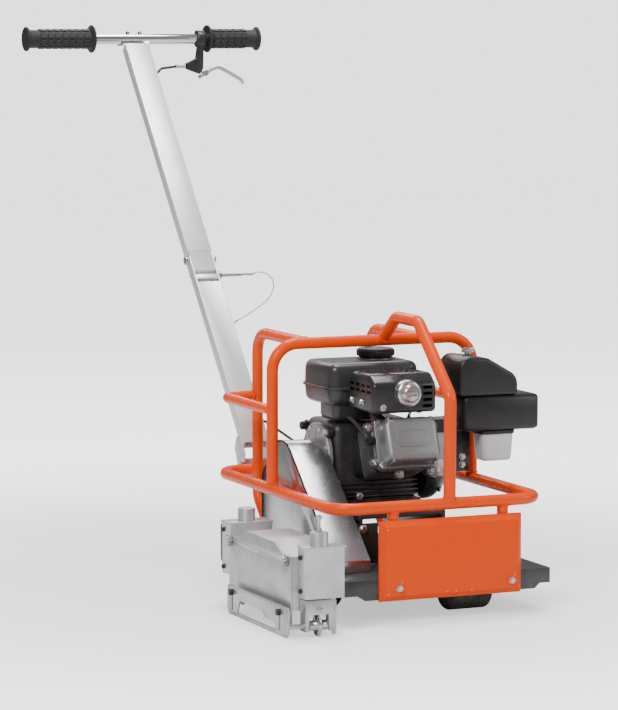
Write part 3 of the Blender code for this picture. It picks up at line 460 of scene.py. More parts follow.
CLEAR = finish("clear_bowl", (0.93, 0.95, 0.97), 0.18, second=(0.90, 0.93, 0.95), grain=500,
               bump=0.03, clear=0.25)
RED = finish("red_knob", (0.50, 0.02, 0.012), 0.35, grain=1500, bump=0.06)
CABLE = finish("cable_sheath", (0.02, 0.02, 0.021), 0.45, grain=1500, bump=0.08)
WIRE = finish("stranded_wire", (0.20, 0.20, 0.21), 0.35, metal=0.9, lines=(2500, 2500, 2500),
              bump=0.4)
BRASS = finish("brass_jet", (0.60, 0.42, 0.16), 0.3, metal=0.95, grain=1500, bump=0.06)
print("finishes:", len(bpy.data.materials))

# %% [markdown]
# ## Geometry Nodes for what follows a path or repeats
# Tubes, cables and wires are all a circle carried along a path, so one node tree makes them:
# the source mesh holds only the path's points. A second tree puts a small shape at every point
# of a mesh and turns it to that point's direction, which makes screws, lugs, ribs and weld beads.

# %% Node tree helpers
def node_tree(name, inputs):
    tree = bpy.data.node_groups.new(name, "GeometryNodeTree")
    tree.interface.new_socket("Geometry", in_out="INPUT", socket_type="NodeSocketGeometry")
    for label, kind, value in inputs:
        socket = tree.interface.new_socket(label, in_out="INPUT", socket_type=kind)
        if value is not None:
            socket.default_value = value
    tree.interface.new_socket("Geometry", in_out="OUTPUT", socket_type="NodeSocketGeometry")
    return tree, tree.nodes.new("NodeGroupInput"), tree.nodes.new("NodeGroupOutput")


def grow(mesh, tree, values):
    """Run a tree on a mesh and give the result back as a plain mesh."""
    source = bpy.data.objects.new("source", mesh)
    bpy.context.scene.collection.objects.link(source)
    modifier = source.modifiers.new("grow", "NODES")
    modifier.node_group = tree
    for item in tree.interface.items_tree:
        if item.in_out == "INPUT" and item.name in values:
            modifier[item.identifier] = values[item.name]
    graph = bpy.context.evaluated_depsgraph_get()
    result = bpy.data.meshes.new_from_object(source.evaluated_get(graph))
    source.modifiers.clear()
    bpy.data.objects.remove(source)
    bpy.data.meshes.remove(mesh)
    return result


def tube_tree():
    tree, start, end = node_tree("round_tube", [
        ("Radius", "NodeSocketFloat", 0.01), ("Sides", "NodeSocketInt", 20),
        ("Finish", "NodeSocketMaterial", None)])
    path = tree.nodes.new("GeometryNodeMeshToCurve")
    circle = tree.nodes.new("GeometryNodeCurvePrimitiveCircle")
    sweep = tree.nodes.new("GeometryNodeCurveToMesh")
    sweep.inputs["Fill Caps"].default_value = True
    real = tree.nodes.new("GeometryNodeRealizeInstances")
    paint = tree.nodes.new("GeometryNodeSetMaterial")
    link = tree.links.new
    link(start.outputs["Geometry"], path.inputs["Mesh"])
    link(start.outputs["Radius"], circle.inputs["Radius"])
    link(start.outputs["Sides"], circle.inputs["Resolution"])
    link(path.outputs["Curve"], sweep.inputs["Curve"])
    link(circle.outputs["Curve"], sweep.inputs["Profile Curve"])
    link(sweep.outputs["Mesh"], real.inputs["Geometry"])
    link(real.outputs["Geometry"], paint.inputs["Geometry"])
    link(start.outputs["Finish"], paint.inputs["Material"])
    link(paint.outputs["Geometry"], end.inputs["Geometry"])
    return tree


def scatter_tree():
    """A copy of a small shape at every point, its Z along the point's 'facing'."""
    tree, start, end = node_tree("copies_at_points", [
        ("Shape", "NodeSocketObject", None), ("Size", "NodeSocketFloat", 1.0),
        ("Finish", "NodeSocketMaterial", None)])
    shape = tree.nodes.new("GeometryNodeObjectInfo")
    facing = tree.nodes.new("GeometryNodeInputNamedAttribute")
    facing.data_type = "FLOAT_VECTOR"
    facing.inputs["Name"].default_value = "facing"
    turn = tree.nodes.new("FunctionNodeAlignRotationToVector")
    turn.axis = "Z"
    points = tree.nodes.new("GeometryNodeInstanceOnPoints")
    real = tree.nodes.new("GeometryNodeRealizeInstances")
    paint = tree.nodes.new("GeometryNodeSetMaterial")
    link = tree.links.new
    link(start.outputs["Geometry"], points.inputs["Points"])
    link(start.outputs["Shape"], shape.inputs["Object"])
    link(shape.outputs["Geometry"], points.inputs["Instance"])
    link(facing.outputs["Attribute"], turn.inputs["Vector"])
    link(turn.outputs["Rotation"], points.inputs["Rotation"])
    link(start.outputs["Size"], points.inputs["Scale"])
    link(points.outputs["Instances"], real.inputs["Geometry"])
    link(real.outputs["Geometry"], paint.inputs["Geometry"])
    link(start.outputs["Finish"], paint.inputs["Material"])
    link(paint.outputs["Geometry"], end.inputs["Geometry"])
    return tree


TUBE = tube_tree()
COPIES = scatter_tree()
print("node trees:", TUBE.name, COPIES.name)


# %% Paths and copies
def rounded_path(points, radius, closed=False, steps=10):
    """Replace the corners of a path by arcs."""
    pts = [Vector(p) for p in points]
    count = len(pts)
    path = []
    for i, corner in enumerate(pts):
        if not closed and i in (0, count - 1):
            path.append(corner)
            continue
        before = (pts[i - 1] - corner).normalized()
        after = (pts[(i + 1) % count] - corner).normalized()
        half = before.angle(after) / 2
        reach = radius / math.tan(half)
        centre = corner + (before + after).normalized() * radius / math.sin(half)
        first = corner + before * reach - centre
        last = corner + after * reach - centre
        normal = first.cross(last).normalized()
        for k in range(steps + 1):
            turn = Matrix.Rotation(first.angle(last) * k / steps, 3, normal)
            path.append(centre + turn @ first)
    return path


def smooth_path(points, per_span=8):
    """A Catmull-Rom curve through the points."""
    pts = [Vector(p) for p in points]
    pts = [pts[0] * 2 - pts[1]] + pts + [pts[-1] * 2 - pts[-2]]
    path = []
    for a, b, c, d in zip(pts, pts[1:], pts[2:], pts[3:]):
        for k in range(per_span):
            t = k / per_span
            path.append(0.5 * ((2 * b) + (c - a) * t + (2 * a - 5 * b + 4 * c - d) * t * t
                               + (3 * b - a - 3 * c + d) * t ** 3))
    path.append(pts[-2])
    return path


def path_mesh(paths, closed=False):
    """The points of one or more paths, joined by edges."""
    mesh = bpy.data.meshes.new("path")
    points, edges = [], []
    for path in paths:
        first = len(points)
        points += [tuple(p) for p in path]
        edges += [(first + i, first + i + 1) for i in range(len(path) - 1)]
        if closed:
            edges.append((len(points) - 1, first))
    mesh.from_pydata(points, edges, [])
    return mesh


def tube(name, paths, radius, material, body, stands_for=(), closed=False, sides=24):
    mesh = grow(path_mesh(paths, closed), TUBE, {"Radius": radius, "Sides": sides,
                                                  "Finish": material})
    return finish_mesh(name, mesh, material, body, stands_for, 50)


def at_all(points):
    return [at(*p) for p in points]


def copies(name, shape, places, material, body, size=1.0, stands_for=()):
    """Place copies of a small bmesh; places lists (point, direction) pairs."""
    model = bpy.data.meshes.new("model")
    bmesh.ops.recalc_face_normals(shape, faces=shape.faces)
    shape.to_mesh(model)
    shape.free()
    pattern = bpy.data.objects.new("pattern", model)
    bpy.context.scene.collection.objects.link(pattern)
    mesh = bpy.data.meshes.new("places")
    mesh.from_pydata([tuple(p) for p, d in places], [], [])
    facing = mesh.attributes.new("facing", "FLOAT_VECTOR", "POINT")
    for i, (p, d) in enumerate(places):
        facing.data[i].vector = Vector(d).normalized()
    mesh = grow(mesh, COPIES, {"Shape": pattern, "Size": size, "Finish": material})
    bpy.data.objects.remove(pattern)
    return finish_mesh(name, mesh, material, body, stands_for, 40)


def hex_bolt(across=0.013, height=0.005, washer=0.0085):
    """A hexagon head with its washer, standing on z = 0."""
    head = turned([(across * 0.577, 0.0012), (across * 0.577, height),
                   (across * 0.50, height + 0.0008)], Vector((0, 0, 0)), steps=6)
    ring = turned([(washer, 0.0), (washer, 0.0010), (washer - 0.0004, 0.0013)],
                  Vector((0, 0, 0)), steps=20)
    return merged(ring, head)


def socket_screw(radius=0.0042, height=0.0042):
    """A socket head screw: a drum with a rounded rim and a hexagon recess."""
    bm = turned([(radius, 0.0), (radius, height - 0.0006), (radius - 0.0006, height),
                 (radius * 0.56, height), (radius * 0.52, height - 0.002)],
                Vector((0, 0, 0)), steps=18)
    return bm


# %% [markdown]
# ## The lanyard
# The lock pin's ring is tied to the post by a thin stranded wire, so the pin can't be lost. The
# wire is a tube along a fixed route: it leaves the ring, swings out and down, and ends in a crimped
# loop at the post.

# %% Lanyard
ROUTE_FROM_PIN = [(0.0885, -0.0152, 0.0005), (0.104, -0.0165, 0.005), (0.123, -0.0175, 0.001),
                  (0.134, -0.0180, -0.010), (0.137, -0.0180, -0.026), (0.124, -0.0205, -0.048),
                  (0.095, -0.034, -0.064), (0.064, -0.052, -0.076), (0.040, -0.068, -0.083),
                  (0.0262, -0.076, -0.088)]
PIN = (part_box("lock_pin")[0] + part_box("lock_pin")[1]) / 2
PIN.x = (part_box("lower_post")[0].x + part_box("lower_post")[1].x) / 2
wire_path = smooth_path([PIN + Vector(p) for p in ROUTE_FROM_PIN], 5)
wire_mesh = grow(path_mesh([wire_path]), TUBE, {"Radius": 0.0009, "Sides": 10, "Finish": WIRE})
wire_mesh.name = "lanyard_wire"
wire_mesh.shade_smooth()
lanyard = bpy.data.objects.new("lanyard_wire", wire_mesh)
bpy.context.scene.collection.objects.link(lanyard)
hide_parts("lanyard")


def crimp(name, a, b, radius, material, body):
    """A short sleeve between two points."""
    direction = b - a
    span = direction.length
    profile = [(radius * 0.8, 0), (radius, span * 0.08), (radius, span * 0.92),
               (radius * 0.8, span)]
    return finish_piece(name, turned(profile, a, direction, 16), material, body)


post_crimp = crimp("lanyard_post_crimp", wire_path[-6], wire_path[-3], 0.0020, STEEL, "base")
ring_crimp = crimp("lanyard_ring_crimp", wire_path[1], wire_path[4], 0.0019, STEEL, "pin")
eye_centre = wire_path[-1] + Vector((0.0006, 0, 0))
eye = finish_piece("lanyard_eye", turned([(0.0052, 0), (0.0060, 0.0005), (0.0060, 0.0016),
                                          (0.0030, 0.0022)], eye_centre, (1, 0, 0), 24),
                   STEEL, "base")
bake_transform(lanyard)

# %% [markdown]
# ## Softened CAD
# Sheet and plate never have perfectly sharp edges: a small bevel catches the light and tells
# the eye how thick the metal is. For the many folded or machined pieces whose CAD shape is
# already right, a copy is merged, its flat faces are joined again, and its edges are bevelled.
# Hidden parts and a few that are already round get no bevel: their width is 0.

# %% Softening
def softened(node, material, body, width=0.0006, segments=2, smooth=35, bevel_angle=32):
    """Stand a cleaned copy of a CAD node in its place, bevelled unless the width is 0."""
    bm = bmesh.new()
    bm.from_mesh(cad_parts[node].data)
    bmesh.ops.remove_doubles(bm, verts=bm.verts, dist=0.000004)
    bmesh.ops.dissolve_limit(bm, angle_limit=math.radians(0.6), verts=bm.verts, edges=bm.edges)
    if width:
        round_edges(bm, width, segments, bevel_angle)
    return finish_piece(node + "_finish", bm, material, body, (node,), smooth)


SOFT = [
    ("block_housing", ALLOY, 0.0008), ("block_door", ALLOY, 0.0006),
    ("front_spring_box", ALLOY, 0.0007), ("rear_spring_box", ALLOY, 0.0007),
    ("engine_mount", DECK, 0.0010), ("lower_post", POST, 0.0010),
    ("chassis_base", DECK, 0.0008), ("belt_guard", ZINC, 0.0008),
    ("post_bracket", POST, 0.0008), ("rear_flap", FLAP, 0.0012), ("fold_bolt", STEEL, 0.0005),
    ("front_skid_screw", DARK_STEEL, 0.0004), ("rear_skid_screw", DARK_STEEL, 0.0004),
    ("cleaner_base", PLASTIC, 0.0), ("carburettor", RAW_CAST, 0.0016),
]
for node, material, width in SOFT:
    softened(node, material, "base", width)
for node, body, material, width in (
        ("skid_plate", "skid", SKID_ALLOY, 0.0006), ("roller_yoke", "skid", SKID_ALLOY, 0.0006),
        ("rear_door_nut", "rear_wing_nut", NUT_STEEL, 0.0005),
        ("front_door_nut", "front_wing_nut", NUT_STEEL, 0.0005),
        ("upper_post", "handle", POST, 0.0010), ("handlebar", "handle", CHROME, 0.0004),
        ("lever_bracket", "handle", PLASTIC, 0.0010), ("lock_pin", "pin", STEEL, 0.0),
        ("recoil_grip", "starter_grip", PLASTIC, 0.0012),
        ("throttle_lever", "throttle", STEEL, 0.0004),
        ("stop_switch", "engine_switch", RED, 0.0006),
        ("cleaner_nut", "cleaner_wing_nut", STEEL, 0.0004),
        ("arbor_nut", "arbor", DARK_STEEL, 0.0006), ("saw_blade", "arbor", GROUND, 0.0),
        ("arbor_shaft", "arbor", GROUND, 0.0), ("arbor_pulley", "arbor", IRON, 0.0),
        ("engine_pulley", "engine_output", IRON, 0.0),
        ("guide_roller", "guide_wheel", STEEL, 0.0)):
    softened(node, material, body, width)
for node, material in (("front_right_axle", STEEL), ("front_left_axle", STEEL),
                       ("rear_axle", STEEL), ("drive_belt", BELT)):
    softened(node, material, "base", 0.0)

# %% [markdown]
# ## Guard frame
# The cage is bent steel tube, powder coated. Bending leaves a round corner about two tube
# widths in radius, and the side loops and centre bail are welded on. Sweeping a circle along
# rounded paths is exactly what the bender does, so the tube tree makes every run.

# %% Guard tubes
TUBE_R = 0.0105
RING_LEFT, RING_RIGHT = -0.203, 0.192
RING_FRONT, RING_REAR, RING_Z = -0.064, 0.475, 0.200
HOOP_Y, HOOP_Z, LOOP_Z = 0.215, 0.460, 0.342
LEGS = ((RING_LEFT, -0.135), (RING_RIGHT, 0.094))
LEG_Y = 0.449
BASE_TOP = 0.0765
BAIL_X = 0.013

ring_path = rounded_path(at_all([(RING_LEFT, RING_FRONT, RING_Z), (RING_RIGHT, RING_FRONT, RING_Z),
                                 (RING_RIGHT, RING_REAR, RING_Z), (RING_LEFT, RING_REAR, RING_Z)]),
                         0.045, True)
tube("guard_ring_tube", [ring_path], TUBE_R, ORANGE, "base", ("guard_ring",), True)
stubs = [at_all([(x, RING_FRONT + 0.0025, RING_Z - 0.002),
                 (x, RING_FRONT + 0.0025, BASE_TOP + 0.0005)]) for x in (-0.094, 0.117)]
tube("ring_stub_posts", stubs, 0.0098, ORANGE, "base")

foot = RING_Z + 0.004
hoop = rounded_path(at_all([(RING_LEFT, HOOP_Y, foot), (RING_LEFT, HOOP_Y, HOOP_Z),
                            (RING_RIGHT, HOOP_Y, HOOP_Z), (RING_RIGHT, HOOP_Y, foot)]), 0.048)
rear_legs = [rounded_path(at_all([(leg, HOOP_Y + 0.004, HOOP_Z), (leg, LEG_Y, HOOP_Z),
                                  (leg, LEG_Y, 0.155), (leg, 0.378, BASE_TOP + 0.008)]), 0.040)
             for side, leg in LEGS]
loops = [rounded_path(at_all([(side, HOOP_Y + 0.002, LOOP_Z), (side, LEG_Y, LOOP_Z),
                              (leg, LEG_Y, LOOP_Z)]), 0.026) for side, leg in LEGS]
bail = rounded_path(at_all([(BAIL_X, RING_FRONT, foot), (BAIL_X, RING_FRONT - 0.002, 0.386),
                            (BAIL_X, 0.066, 0.506), (BAIL_X, 0.156, 0.506),
                            (BAIL_X, HOOP_Y - 0.001, HOOP_Z + 0.003)]), 0.026)
tube("cage_hoop", [hoop], TUBE_R, ORANGE, "base", ("upper_guard",))
tube("cage_rear_legs", rear_legs, TUBE_R - 0.0003, ORANGE, "base")
tube("cage_side_loops", loops, TUBE_R - 0.0012, ORANGE, "base")
tube("cage_bail", [bail], TUBE_R + 0.0004, ORANGE, "base")
print("ring runs", round(sum((b - a).length for a, b in zip(ring_path, ring_path[1:])), 2), "m")


# %% [markdown]
# Where tubes meet, the weld leaves a ring of small overlapping beads under the paint. Beads are
# flattened balls, copied around a circle at each joint.

# %% Weld beads
def weld_ring(centre, axis, radius, count=22):
    turn = Vector(axis).to_track_quat("Z", "Y").to_matrix()
    ring = []
    for i in range(count):
        angle = 2 * math.pi * i / count
        spoke = turn @ Vector((math.cos(angle), math.sin(angle), 0))
        ring.append((centre + spoke * radius, spoke))
    return ring


def bead():
    bm = bmesh.new()
    bmesh.ops.create_icosphere(bm, subdivisions=1, radius=0.0019)
    return bm


welds = []
for x in (RING_LEFT, RING_RIGHT):
    welds += weld_ring(at(x, HOOP_Y, RING_Z + TUBE_R + 0.0002), (0, 0, 1), TUBE_R)
    welds += weld_ring(at(x, HOOP_Y + TUBE_R, LOOP_Z), (0, 1, 0), TUBE_R - 0.0012)
for side, leg in LEGS:
    welds += weld_ring(at(leg, HOOP_Y + TUBE_R, HOOP_Z), (0, 1, 0), TUBE_R - 0.0003)
    inward = 1 if leg < side else -1
    welds += weld_ring(at(leg + inward * TUBE_R, LEG_Y, LOOP_Z), (1, 0, 0), TUBE_R - 0.0012)
welds += weld_ring(at(BAIL_X, RING_FRONT, RING_Z + TUBE_R + 0.0002), (0, 0, 1), TUBE_R)
welds += weld_ring(at(BAIL_X, HOOP_Y - 0.009, HOOP_Z + 0.006), (0, 0.8, -0.6), TUBE_R)
for x in (-0.094, 0.117):
    welds += weld_ring(at(x, RING_FRONT + 0.0025, RING_Z - TUBE_R), (0, 0, 1), 0.0098)
    welds += weld_ring(at(x, RING_FRONT + 0.0025, BASE_TOP + 0.0008), (0, 0, 1), 0.0098)
copies("weld_beads", bead(), welds, ORANGE, "base")
print("weld beads:", len(welds))

# %% [markdown]
# ## Wheels
# The wheels are solid rubber rollers with rounded shoulders. A turned profile with a few fine
# mould lines and a recessed hub face is enough, because they stay half hidden under the deck.

# %% Wheels
WHEEL_R = 0.036


def wheel(name, node, body, left, right, y):
    r = WHEEL_R
    shoulder = 0.010
    profile = [(0.0062, 0.0), (0.0185, 0.0), (0.0200, 0.0016), (0.0235, 0.0016), (0.0250, 0.0)]
    for i in range(7):
        angle = math.pi / 2 * i / 6
        profile.append((r - shoulder + shoulder * math.sin(angle),
                        shoulder - shoulder * math.cos(angle)))
    width = right - left
    half = list(profile)
    ribs = []
    for i in range(3):
        mid = width * (0.35 + 0.15 * i)
        ribs += [(r, mid - 0.0010), (r - 0.0006, mid - 0.0005), (r - 0.0006, mid + 0.0005),
                 (r, mid + 0.0010)]
    outline = half + ribs + [(radius, width - h) for radius, h in reversed(half)]
    finish_piece(name, turned(outline, at(left, y, r), (1, 0, 0), 56), RUBBER, body, (node,), 30)


wheel("front_right_roller", "front_right_wheel", "front_right_wheel_body", 0.0345, 0.1175, 0.005)
wheel("front_left_roller", "front_left_wheel", "front_left_wheel_body", -0.166, -0.121, 0.116)
wheel("rear_right_roller", "rear_right_wheel", "rear_right_wheel_body", 0.1025, 0.1795, 0.330)
wheel("rear_left_roller", "rear_left_wheel", "rear_left_wheel_body", -0.1795, -0.1025, 0.330)
print("wheels:", 4)

# %% [markdown]
# ## Grips
# Handlebar grips are moulded rubber sleeves with a waffle of raised lugs. The sleeve is one turned
# profile with two flanges; the lugs are copies of one small pad, set in rows.

# %% Grips
BAR_Y, BAR_Z = 1.133, 0.997


LUG_PITCH, LUGS_AROUND = 0.0152, 8


def lug():
    """A low square pad standing on z = 0; rows of them make the waffle tread."""
    return moulding(Vector((0, 0, 0)), 0.0060, 0.0056, 0.0012,
                    [(-0.0012, 0), (0.0010, 0), (0.0017, 0.0007)])


def grip(name, node, inner, outer):
    sign = 1 if outer > inner else -1
    length = abs(outer - inner)
    profile = [(0.0115, 0.0), (0.0268, 0.0), (0.0280, 0.0012), (0.0280, 0.0038), (0.0262, 0.0056),
               (0.0196, 0.0080), (0.0184, 0.0100), (0.0184, length - 0.0100),
               (0.0194, length - 0.0072), (0.0236, length - 0.0050), (0.0245, length - 0.0036),
               (0.0245, length - 0.0012), (0.0232, length), (0.0100, length + 0.0004)]
    finish_piece(name + "_sleeve", turned(profile, at(inner, BAR_Y, BAR_Z), (sign, 0, 0), 48), GRIP,
                 "handle", (node,), 40)
    places = []
    rows = int((length - 0.024) / LUG_PITCH)
    for row in range(rows):
        x = inner + sign * (0.0180 + LUG_PITCH * row)
        for k in range(LUGS_AROUND):
            angle = 2 * math.pi * (k + 0.5) / LUGS_AROUND
            spoke = Vector((0, math.cos(angle), math.sin(angle)))
            places.append((at(x, BAR_Y, BAR_Z) + spoke * 0.0182, spoke))
    copies(name + "_lugs", lug(), places, GRIP, "handle")
    return len(places)


low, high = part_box("left_grip")
lugs = grip("left_grip", "left_grip", high.x - DATUM.x, low.x - DATUM.x)
low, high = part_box("right_grip")
lugs += grip("right_grip", "right_grip", low.x - DATUM.x, high.x - DATUM.x)
print("grip lugs:", lugs)

# %% [markdown]
# ## Cables and the starter rope
# The control cable runs from the lever bracket down behind the post and forward to the engine.
# It is one black sheath, so the same tube tree draws it, through the points the CAD cable uses.

# %% Cables
POST_X, POST_HALF, POST_DEEP = -0.125, 0.025, 0.011
POST_FOOT, POST_TOP = (0.4835, 0.245), (1.122, 0.984)
FOLD_S = 0.431
POST_LEAN = math.atan2(POST_TOP[0] - POST_FOOT[0], POST_TOP[1] - POST_FOOT[1])
POST_LENGTH = math.hypot(POST_TOP[0] - POST_FOOT[0], POST_TOP[1] - POST_FOOT[1])


def on_post(s, n=0.0, x=POST_X):
    """A point at distance s up the post and n behind its centreline."""
    y = POST_FOOT[0] + s * math.sin(POST_LEAN) + n * math.cos(POST_LEAN)
    z = POST_FOOT[1] + s * math.cos(POST_LEAN) - n * math.sin(POST_LEAN)
    return at(x, y, z)


SHEATH_R = 0.0027
cable_x = POST_X + POST_HALF - 0.0065
behind = POST_DEEP + 0.0035
upper_route = [at(0.001, BAR_Y, BAR_Z - 0.056), at(-0.030, BAR_Y, BAR_Z - 0.056),
               at(-0.065, BAR_Y - 0.002, BAR_Z - 0.060),
               on_post(POST_LENGTH - 0.080, behind, cable_x),
               on_post(FOLD_S - 0.054, behind, cable_x)]
lower_route = [on_post(FOLD_S - 0.0555, behind, cable_x), on_post(0.075, behind, cable_x),
               on_post(0.055, behind, cable_x + 0.028), at(cable_x + 0.060, 0.470, 0.245),
               at(0.030, 0.410, 0.226), at(0.108, 0.350, 0.260), at(0.112, 0.285, 0.340)]
tube("upper_cable_sheath", [rounded_path(upper_route, 0.012)], SHEATH_R, CABLE, "handle",
     ("upper_cable",), sides=14)
tube("lower_cable_sheath", [rounded_path(lower_route, 0.016)], SHEATH_R, CABLE, "base",
     ("lower_cable",), sides=14)
tube("cable_barrel", [[at(-0.0330, BAR_Y, BAR_Z - 0.056), at(-0.0125, BAR_Y, BAR_Z - 0.056)]],
     0.0040, STEEL, "handle", sides=18)

rope_start = at(0.1275, 0.190, 0.243)
rope_end = at(0.1400, 0.190, 0.243)
rope_path = [rope_start.lerp(rope_end, i / 40) for i in range(41)]
rope_mesh = grow(path_mesh([rope_path]), TUBE, {"Radius": 0.0019, "Sides": 12, "Finish": CABLE})
rope_mesh.name = "starter_rope"
rope_mesh.shade_smooth()
rope = bpy.data.objects.new("starter_rope", rope_mesh)
bpy.context.scene.collection.objects.link(rope)
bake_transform(rope)
print("cable runs made, rope", round((rope_end - rope_start).length * 1000), "mm at rest")


def post_clip(name, s, body):
    """A black clip on the post's rear corner, holding the cable."""
    centre = on_post(s, POST_DEEP + 0.0022, cable_x + 0.0022)
    turn = Matrix.Rotation(-POST_LEAN, 3, "X")
    bm = moulding(centre, 0.0058, 0.0042, 0.0015,
                  [(-0.005, 0.0004), (-0.0046, 0), (0.0046, 0), (0.005, 0.0004)], turn)
    finish_piece(name, bm, PLASTIC, body)


# %% [markdown]
# ## Control lever
# The hand lever is a bent steel rod with a flattened palm rest. It pivots in the bracket under
# the bar, so it keeps the CAD lever's path and gains a smoother bend.

# %% Lever
LEVER_PIVOT = at(0.0315, BAR_Y, BAR_Z - 0.070)
lever_points = [(-0.014, 0, -0.009), (0.000, 0, -0.001), (0.012, 0, 0.0060), (0.024, 0, 0.0105),
                (0.034, 0, 0.0095), (0.052, 0, 0.0010), (0.070, 0, -0.0090), (0.080, 0, -0.0150),
                (0.084, 0, -0.022)]
lever_path = smooth_path([LEVER_PIVOT + Vector(p) for p in lever_points], 6)
lever_mesh = grow(path_mesh([lever_path]), TUBE, {"Radius": 0.0038, "Sides": 18, "Finish": STEEL})
shape = bmesh.new()
shape.from_mesh(lever_mesh)
hub = turned([(0.0058, -0.0047), (0.0066, -0.0040), (0.0066, 0.0040), (0.0058, 0.0047)],
             LEVER_PIVOT, (0, 1, 0), 24)
finish_piece("hand_lever_rod", merged(shape, hub), STEEL, "hand_lever", ("control_lever",), 40)

# %% [markdown]
# ## Engine
# The engine is a small overhead-cam petrol unit, laid out with its head to the front. Castings
# have drafted, rounded forms, so the moulding helper makes them: rounded rectangles stacked up
# and drawn in toward the rim. Fins, ribs and screws are copies of one shape.

# %% Rocker cover
TILT = math.radians(20)
CYLINDER_ROOT = (0.236, 0.233)


def on_cylinder(x, along, above):
    """A point along the cylinder's axis and above it."""
    y = CYLINDER_ROOT[0] - along * math.cos(TILT) + above * math.sin(TILT)
    z = CYLINDER_ROOT[1] + along * math.sin(TILT) + above * math.cos(TILT)
    return at(x, y, z)


HEAD_OUT = (0, -math.cos(TILT), math.sin(TILT))
HEAD_TURN = Matrix((Vector((1, 0, 0)), Vector((0, math.sin(TILT), math.cos(TILT))),
                    Vector(HEAD_OUT))).transposed()
head_face = on_cylinder(-0.0035, 0.1583, 0.0)
flange = moulding(head_face, 0.0565, 0.0450, 0.013, [(0, 0.0006), (0.0006, 0), (0.0060, 0)]
                  + rim(0.0072, 0.0012), HEAD_TURN)
dome = moulding(head_face, 0.0525, 0.0410, 0.016,
                [(0.0066, 0), (0.0300, 0.0014)] + [(h, i + 0.0014) for h, i in rim(0.0425, 0.0105)],
                HEAD_TURN)
plaque = moulding(head_face, 0.0330, 0.0150, 0.0140, [(0.0405, 0)] + rim(0.0439, 0.0012), HEAD_TURN)
finish_piece("rocker_cover_casting", merged(flange, dome, plaque), CAST, "base",
             ("rocker_cover",), 40)
ribs = merged(*[moulding(head_face + HEAD_TURN @ Vector((x, 0, 0)), 0.0016, 0.0405, 0.0015,
                         [(0.010, 0)] + rim(0.0405, 0.002), HEAD_TURN) for x in (-0.0415, 0.0415)])
finish_piece("rocker_cover_ribs", ribs, CAST, "base", (), 40)
gasket = moulding(head_face, 0.0590, 0.0480, 0.014, [(-0.0078, 0.0008), (-0.0070, 0), (-0.0012, 0),
                                                     (-0.0002, 0.0012)], HEAD_TURN)
ears, ear_bolts = [], []
for ex, ey in ((-0.0640, 0.0330), (-0.0600, -0.0300), (-0.0170, -0.0540), (0.0440, -0.0520),
               (0.0610, 0.0300)):
    spot = head_face + HEAD_TURN @ Vector((ex, ey, -0.0085))
    ears.append(turned([(0.0085, 0.0), (0.0095, 0.0010), (0.0095, 0.0085), (0.0085, 0.0095)], spot,
                       HEAD_OUT, 20))
    ear_bolts.append((spot + Vector(HEAD_OUT) * 0.0095, HEAD_OUT))
finish_piece("cylinder_head_flange", merged(gasket, *ears), RAW_DARK, "base", (), 35)
copies("head_flange_bolts", hex_bolt(0.0088, 0.0050, 0.0062), ear_bolts, STEEL, "base")
corner_bolts = [(head_face + HEAD_TURN @ Vector((sx * 0.0500, sy * 0.0385, 0.0070)), HEAD_OUT)
                for sx in (-1, 1) for sy in (-1, 1)]
copies("rocker_cover_bolts", hex_bolt(0.009, 0.0058, 0.0062), corner_bolts, STEEL, "base")

# %% Cylinder fins
barrel = moulding(on_cylinder(-0.0045, 0.0718, 0), 0.0390, 0.0345, 0.012,
                  [(0, 0), (0.0862, 0)], HEAD_TURN)
finish_piece("cylinder_barrel", barrel, CASE, "base", ("cylinder",), 40)
fin_mesh = bmesh.new()
for i in range(12):
    centre = on_cylinder(-0.0045, 0.0780 + i * 0.0066, 0)
    piece = moulding(centre, 0.0495, 0.0445, 0.008,
                     [(-0.0009, 0.0006), (-0.0004, 0), (0.0004, 0), (0.0009, 0.0006)], HEAD_TURN)
    fin_mesh = merged(fin_mesh, piece)
finish_piece("cylinder_fins", fin_mesh, CASE, "base", (), 40)

# %% Crankcase
case_centre = at(-0.009, 0.258, 0.1657)
case = moulding(case_centre, 0.0870, 0.0698, 0.018,
                [(0.0, 0.0)] + [(0.012, 0.0)] + [(0.0145, 0.003), (0.1200, 0.003)]
                + [(h, i + 0.003) for h, i in rim(0.1500, 0.016)])
seat = moulding(on_cylinder(-0.0045, 0.020, 0), 0.0505, 0.0335, 0.012, [(0, 0), (0.0510, 0)],
                HEAD_TURN)
cover_ring = turned([(0.0615, 0.0), (0.0615, 0.0060), (0.0595, 0.0080), (0.0300, 0.0080),
                     (0.0280, 0.0060), (0.0100, 0.0060)], at(-0.0960, 0.250, 0.250), (-1, 0, 0), 48)
finish_piece("crankcase_casting", merged(case, seat), CASE, "base", ("crankcase",), 35)
finish_piece("crankcase_side_cover", cover_ring, RAW_CAST, "base", (), 35)
cover_bolts = []
for i in range(8):
    angle = 2 * math.pi * (i + 0.5) / 8
    spot = at(-0.1020, 0.250 + 0.0545 * math.cos(angle), 0.250 + 0.0545 * math.sin(angle))
    cover_bolts.append((spot, (-1, 0, 0)))
copies("side_cover_bolts", hex_bolt(0.0075, 0.0042, 0.0052), cover_bolts, STEEL, "base")
case_ribs = []
for i in range(5):
    y = 0.205 + i * 0.026
    case_ribs.append(box((-0.0968, y, 0.175), (-0.0925, y + 0.004, 0.300)))
finish_piece("crankcase_ribs", round_edges(merged(*case_ribs), 0.0012, 2), CASE, "base")
rails = [box((-0.090, 0.1835, 0.172 + 0.0085 * i), (0.070, 0.1900, 0.1755 + 0.0085 * i))
         for i in range(5)]
rails += [box((-0.100, 0.196 + 0.013 * i, 0.172), (-0.094, 0.1995 + 0.013 * i, 0.206))
          for i in range(9)]
finish_piece("crankcase_rails", round_edges(merged(*rails), 0.0011, 2), CASE, "base")
webs = []
